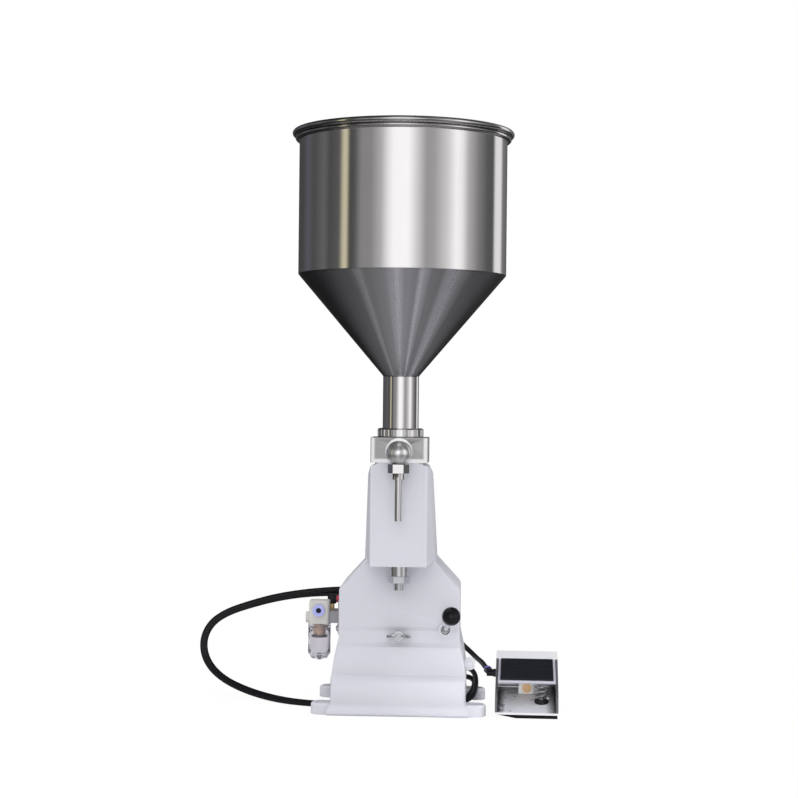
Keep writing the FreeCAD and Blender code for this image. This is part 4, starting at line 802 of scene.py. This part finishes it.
# Every other CAD piece: a clean copy with its finish and edge radius, by body and material slot
PLAIN_LOOKS = [
    ("machine", "white_paint", {"rear_cover": (sheet_paint, 0.0004), "bottom_cover": (sheet_paint, 0.0004)}),
    ("machine", "polished_steel", {
        "valve_block": (ground_steel, 0.0013), "outlet_nose": (nose_steel, 0.0002),
        "nozzle_nut": (polished_steel, 0.0004), "nozzle": (polished_steel, 0.0),
        "cylinder_cap": (bright_steel, 0.0003)}),
    ("machine", "bright_steel", {
        "pan_screws": (bright_steel, 0.0002), "block_screws": (bright_steel, 0.0002),
        "pedal_pins": (bright_steel, 0.0002), "lever_bush": (casting_paint, 0.0004)}),
    ("machine", "valve_steel", {
        "inlet_valve_cage": (bright_steel, 0.0), "metering_cylinder": (bright_steel, 0.0),
        "cylinder_partition": (bright_steel, 0.0)}),
    ("machine", "zinc_steel", {"lock_nut": (zinc_steel, 0.0004), "clamp_stud": (zinc_steel, 0.0003)}),
    ("machine", "spring_steel", {
        "inlet_valve_spring": (spring_wire, 0.0), "outlet_valve_spring": (spring_wire, 0.0),
        "return_spring": (spring_wire, 0.0)}),
    ("machine", "black_plastic", {
        "filter_baffle": (black_moulding, 0.0003), "filter_elbow": (black_moulding, 0.0003),
        "hose_clip": (black_moulding, 0.0005), "filter_bracket": (bracket_grey, 0.0006),
        "spring_seat": (black_moulding, 0.0004)}),
    ("machine", "valve_aluminium", {
        "hand_valve": (satin_aluminium, 0.0004), "air_valve": (satin_aluminium, 0.0006),
        "pedal_valve": (satin_aluminium, 0.0005)}),
    ("machine", "grey_plastic", {"silencer": (grey_moulding, 0.0003)}),
    ("machine", "clear_bowl", {"filter_bowl": (bowl_glass, 0.0)}),
    ("machine", "bronze", {"filter_element": (sintered_bronze, 0.0002), "spool_end": (ground_bronze, 0.0003)}),
    ("machine", "brass", {"filter_nipple": (turned_brass, 0.0003)}),
    ("machine", "red_plastic", {"red_collet": (red_moulding, 0.0003)}),
    ("machine", "blue_plastic", {
        "blue_collets": (blue_moulding, 0.0003), "inlet_fitting": (port_moulding, 0.0004)}),
    ("machine", "hose_black", {"outlet_tube": (hose_skin, 0.0)}),
    ("machine", "mat_rubber", {"pedal_pad": (pad_rubber, 0.0004)}),
    ("machine", "white_plastic", {"valve_end_cap": (white_moulding, 0.0006)}),
    ("piston", "valve_steel", {
        "metering_piston": (bright_steel, 0.0002), "piston_rod": (bright_steel, 0.0002),
        "air_piston": (satin_aluminium, 0.0002)}),
    ("piston", "seal_rubber", {"piston_seals": (seal_rubber, 0.0)}),
    ("inlet_ball", "valve_steel", {"inlet_valve_ball": (bright_steel, 0.0)}),
    ("outlet_ball", "valve_steel", {"outlet_valve_ball": (bright_steel, 0.0)}),
    ("stop_screw", "zinc_steel", {"adjusting_screw": (zinc_steel, 0.0002)}),
    ("hand_lever", "bright_steel", {"lever_stem": (bright_steel, 0.0002)}),
    ("hand_lever", "black_plastic", {"ball_knob": (black_knob, 0.0002)}),
    ("wing_nut", "bright_steel", {"clamp_wing_nut": (bright_steel, 0.0002)}),
    ("plunger", "brass", {"valve_plunger": (turned_brass, 0.0002)}),
    ("tread", "mat_rubber", {"tread_mat": (mat_rubber, 0.0003)}),
]
for body, slot, nodes in PLAIN_LOOKS:
    for node, (finish, edge) in nodes.items():
        dressed(node, body, slot, [finish], edge)

# Springs, each with a mesh of its own: joint, way of the spring, seated end, share of the length that is left
SPRING_TRAVEL = [
    ("inlet_valve_spring", "inlet_check", upward, (0.0, head_axis_y, 0.2741), 0.69),
    ("outlet_valve_spring", "outlet_check", backward, (0.0, -0.1185, 0.2947), 0.83),
    ("return_spring", "tread_press", upward, (0.1605, -0.046, 0.0176), 0.51),
]
for node, joint, way, seat, share in SPRING_TRAVEL:
    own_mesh(bpy.data.objects["dressed_" + node])

dressed("body_casting", "machine", "white_paint", [casting_paint], 0.0008, change=cast_edges)
dressed("elbow_fittings", "machine", "black_plastic", [hose_skin], 0.0003, change=slim_pedal_elbow)
dressed("filter_drain", "drain", "black_plastic", [drain_moulding], 0.0002, change=short_drain)
dressed("pedal_housing", "machine", "pedal_paint", [sheet_paint, deck_paint, wall_edge_painted_shade, inner_wall_painted_shade],
        0.0005, chooser=housing_zone, change=lower_sill)
dressed("pedal_tread", "tread", "tread_paint", [tread_paint], 0.0006, change=trim_lip)


# Floor: white to the camera, pale grey to light, and clear to mirrors the further out it is
floor_half = 6.0
floor_grey = (0.88, 0.88, 0.88, 1.0)
white_tone = (1.0, 1.0, 1.0, 1.0)
seen_share = 0.96
near_clear = 0.75
clear_from = 0.55
clear_rate = 2.2


def make_floor():
    mesh = bpy.data.meshes.new("studio_floor")
    shape = bmesh.new()
    bmesh.ops.create_grid(shape, x_segments=1, y_segments=1, size=floor_half)
    shape.to_mesh(mesh)
    shape.free()
    floor = placed("studio_floor", mesh)
    material = bpy.data.materials.new("studio_floor")
    material.use_nodes = True
    tree = Tree(material.node_tree)
    tree.tree.nodes.clear()
    camera_ray, through_ray, mirrored = tree.rays("Camera", "Transmission", "Glossy")
    seen = camera_ray + through_ray
    x, y, _ = tree.split(tree.coords())
    far = ((x * x + y * y).math("SQRT") * clear_rate - clear_from).clamped()
    clearness = near_clear + (1.0 - near_clear) * far
    grey = tree.add("BsdfDiffuse", Color=floor_grey)
    white = tree.add("Emission", Color=white_tone, Strength=1.0)
    clear = tree.add("BsdfTransparent", Color=white_tone)
    plain = tree.add("MixShader", i0=seen * seen_share, i1=grey, i2=white)
    tree.close("Material", tree.add("MixShader", i0=mirrored * clearness, i1=plain, i2=clear))
    mesh.materials.append(material)


make_floor()


# Lamps, which mirrors don't show
def hang(name, data, place, target, power):
    data.energy = power
    lamp = placed(name, data)
    lamp.location = place
    lamp.rotation_euler = (Vector(target) - Vector(place)).to_track_quat("-Z", "Y").to_euler()
    lamp.visible_glossy = False


def softbox(name, place, size, power):
    """Large soft lamp, turned to the middle of the casting."""
    data = bpy.data.lights.new(name, "AREA")
    data.shape = "RECTANGLE"
    data.size, data.size_y = size
    hang(name, data, place, (0.0, 0.0, 0.25), power)


def low_spot(name, place, target, angle, power):
    """Narrow lamp with a soft edge."""
    data = bpy.data.lights.new(name, "SPOT")
    data.spot_size = math.radians(angle)
    data.spot_blend = 1.0
    data.shadow_soft_size = 0.12
    hang(name, data, place, target, power)


softbox("front_box", (-0.3, -2.2, 1.6), (1.6, 1.2), 7.0)
softbox("right_box", (2.0, -0.3, 1.2), (1.0, 1.4), 9.0)
softbox("left_box", (-2.0, -0.1, 1.4), (1.0, 1.4), 5.0)
# The spot reaches the recess under the tread
low_spot("pedal_spot", (0.20, -1.0, 0.075), (0.147, -0.03, 0.024), 10.0, 40.0)


# Studio that the steel mirrors: tones by height, and around from behind over the left, front and right
STUDIO_HEIGHTS = [(0.0, 0.20), (0.40, 0.26), (0.455, 0.80), (0.49, 1.0), (0.67, 1.0), (0.74, 0.30), (1.0, 0.15)]
STUDIO_BANDS = [
    (0.0, 0.055), (0.11, 0.07), (0.15, (0.11, 0.115, 0.14)), (0.19, 0.085), (0.24, 0.15), (0.265, 0.085),
    (0.303, 0.12), (0.318, (0.70, 0.66, 0.46)), (0.328, (0.70, 0.66, 0.46)), (0.338, 0.07), (0.357, 0.11),
    (0.378, 0.29), (0.41, 0.30), (0.442, 0.55), (0.46, 0.95), (0.478, 1.22), (0.522, 1.25), (0.545, 0.86),
    (0.561, 0.62), (0.577, 0.39), (0.602, 0.43), (0.645, 0.78), (0.675, 1.20), (0.695, 1.05), (0.718, 0.54),
    (0.76, 0.25), (0.80, 0.12), (0.833, 0.10), (0.848, 0.90), (0.885, 0.92), (0.905, 0.22), (1.0, 0.055),
]
sky_foot = 0.36
sky_rise = 1.15
sky_red = 0.985
sky_green = 0.99


def make_world():
    """White to the camera; mirrors see a studio of soft upright bands, bright in front and dark at the back."""
    world = bpy.data.worlds.new("studio")
    bpy.context.scene.world = world
    world.use_nodes = True
    tree = Tree(world.node_tree)
    tree.tree.nodes.clear()
    x, y, z = tree.split(tree.coords("Generated"))
    around = x.math("ARCTAN2", -1.0 * y) * (0.5 / math.pi) + 0.5
    bands = tree.add("ValToRGB", {"stops": STUDIO_BANDS}, Fac=around)
    heights = tree.add("ValToRGB", {"stops": STUDIO_HEIGHTS}, Fac=z * 0.5 + 0.5)
    mirrored = tree.mix(1.0, bands, heights)
    mirrored.socket.node.blend_type = "MULTIPLY"
    camera_ray, glossy_ray, through_ray = tree.rays("Camera", "Glossy", "Transmission")
    sky = z.math("MAXIMUM", 0.0) * sky_rise + sky_foot
    soft = tree.mix(glossy_ray, tree.join(sky * sky_red, sky * sky_green, sky), mirrored)
    colour = tree.mix((camera_ray + through_ray).clamped(), soft, white_tone)
    tree.close("World", tree.add("Background", Color=colour, Strength=1.0))


make_world()
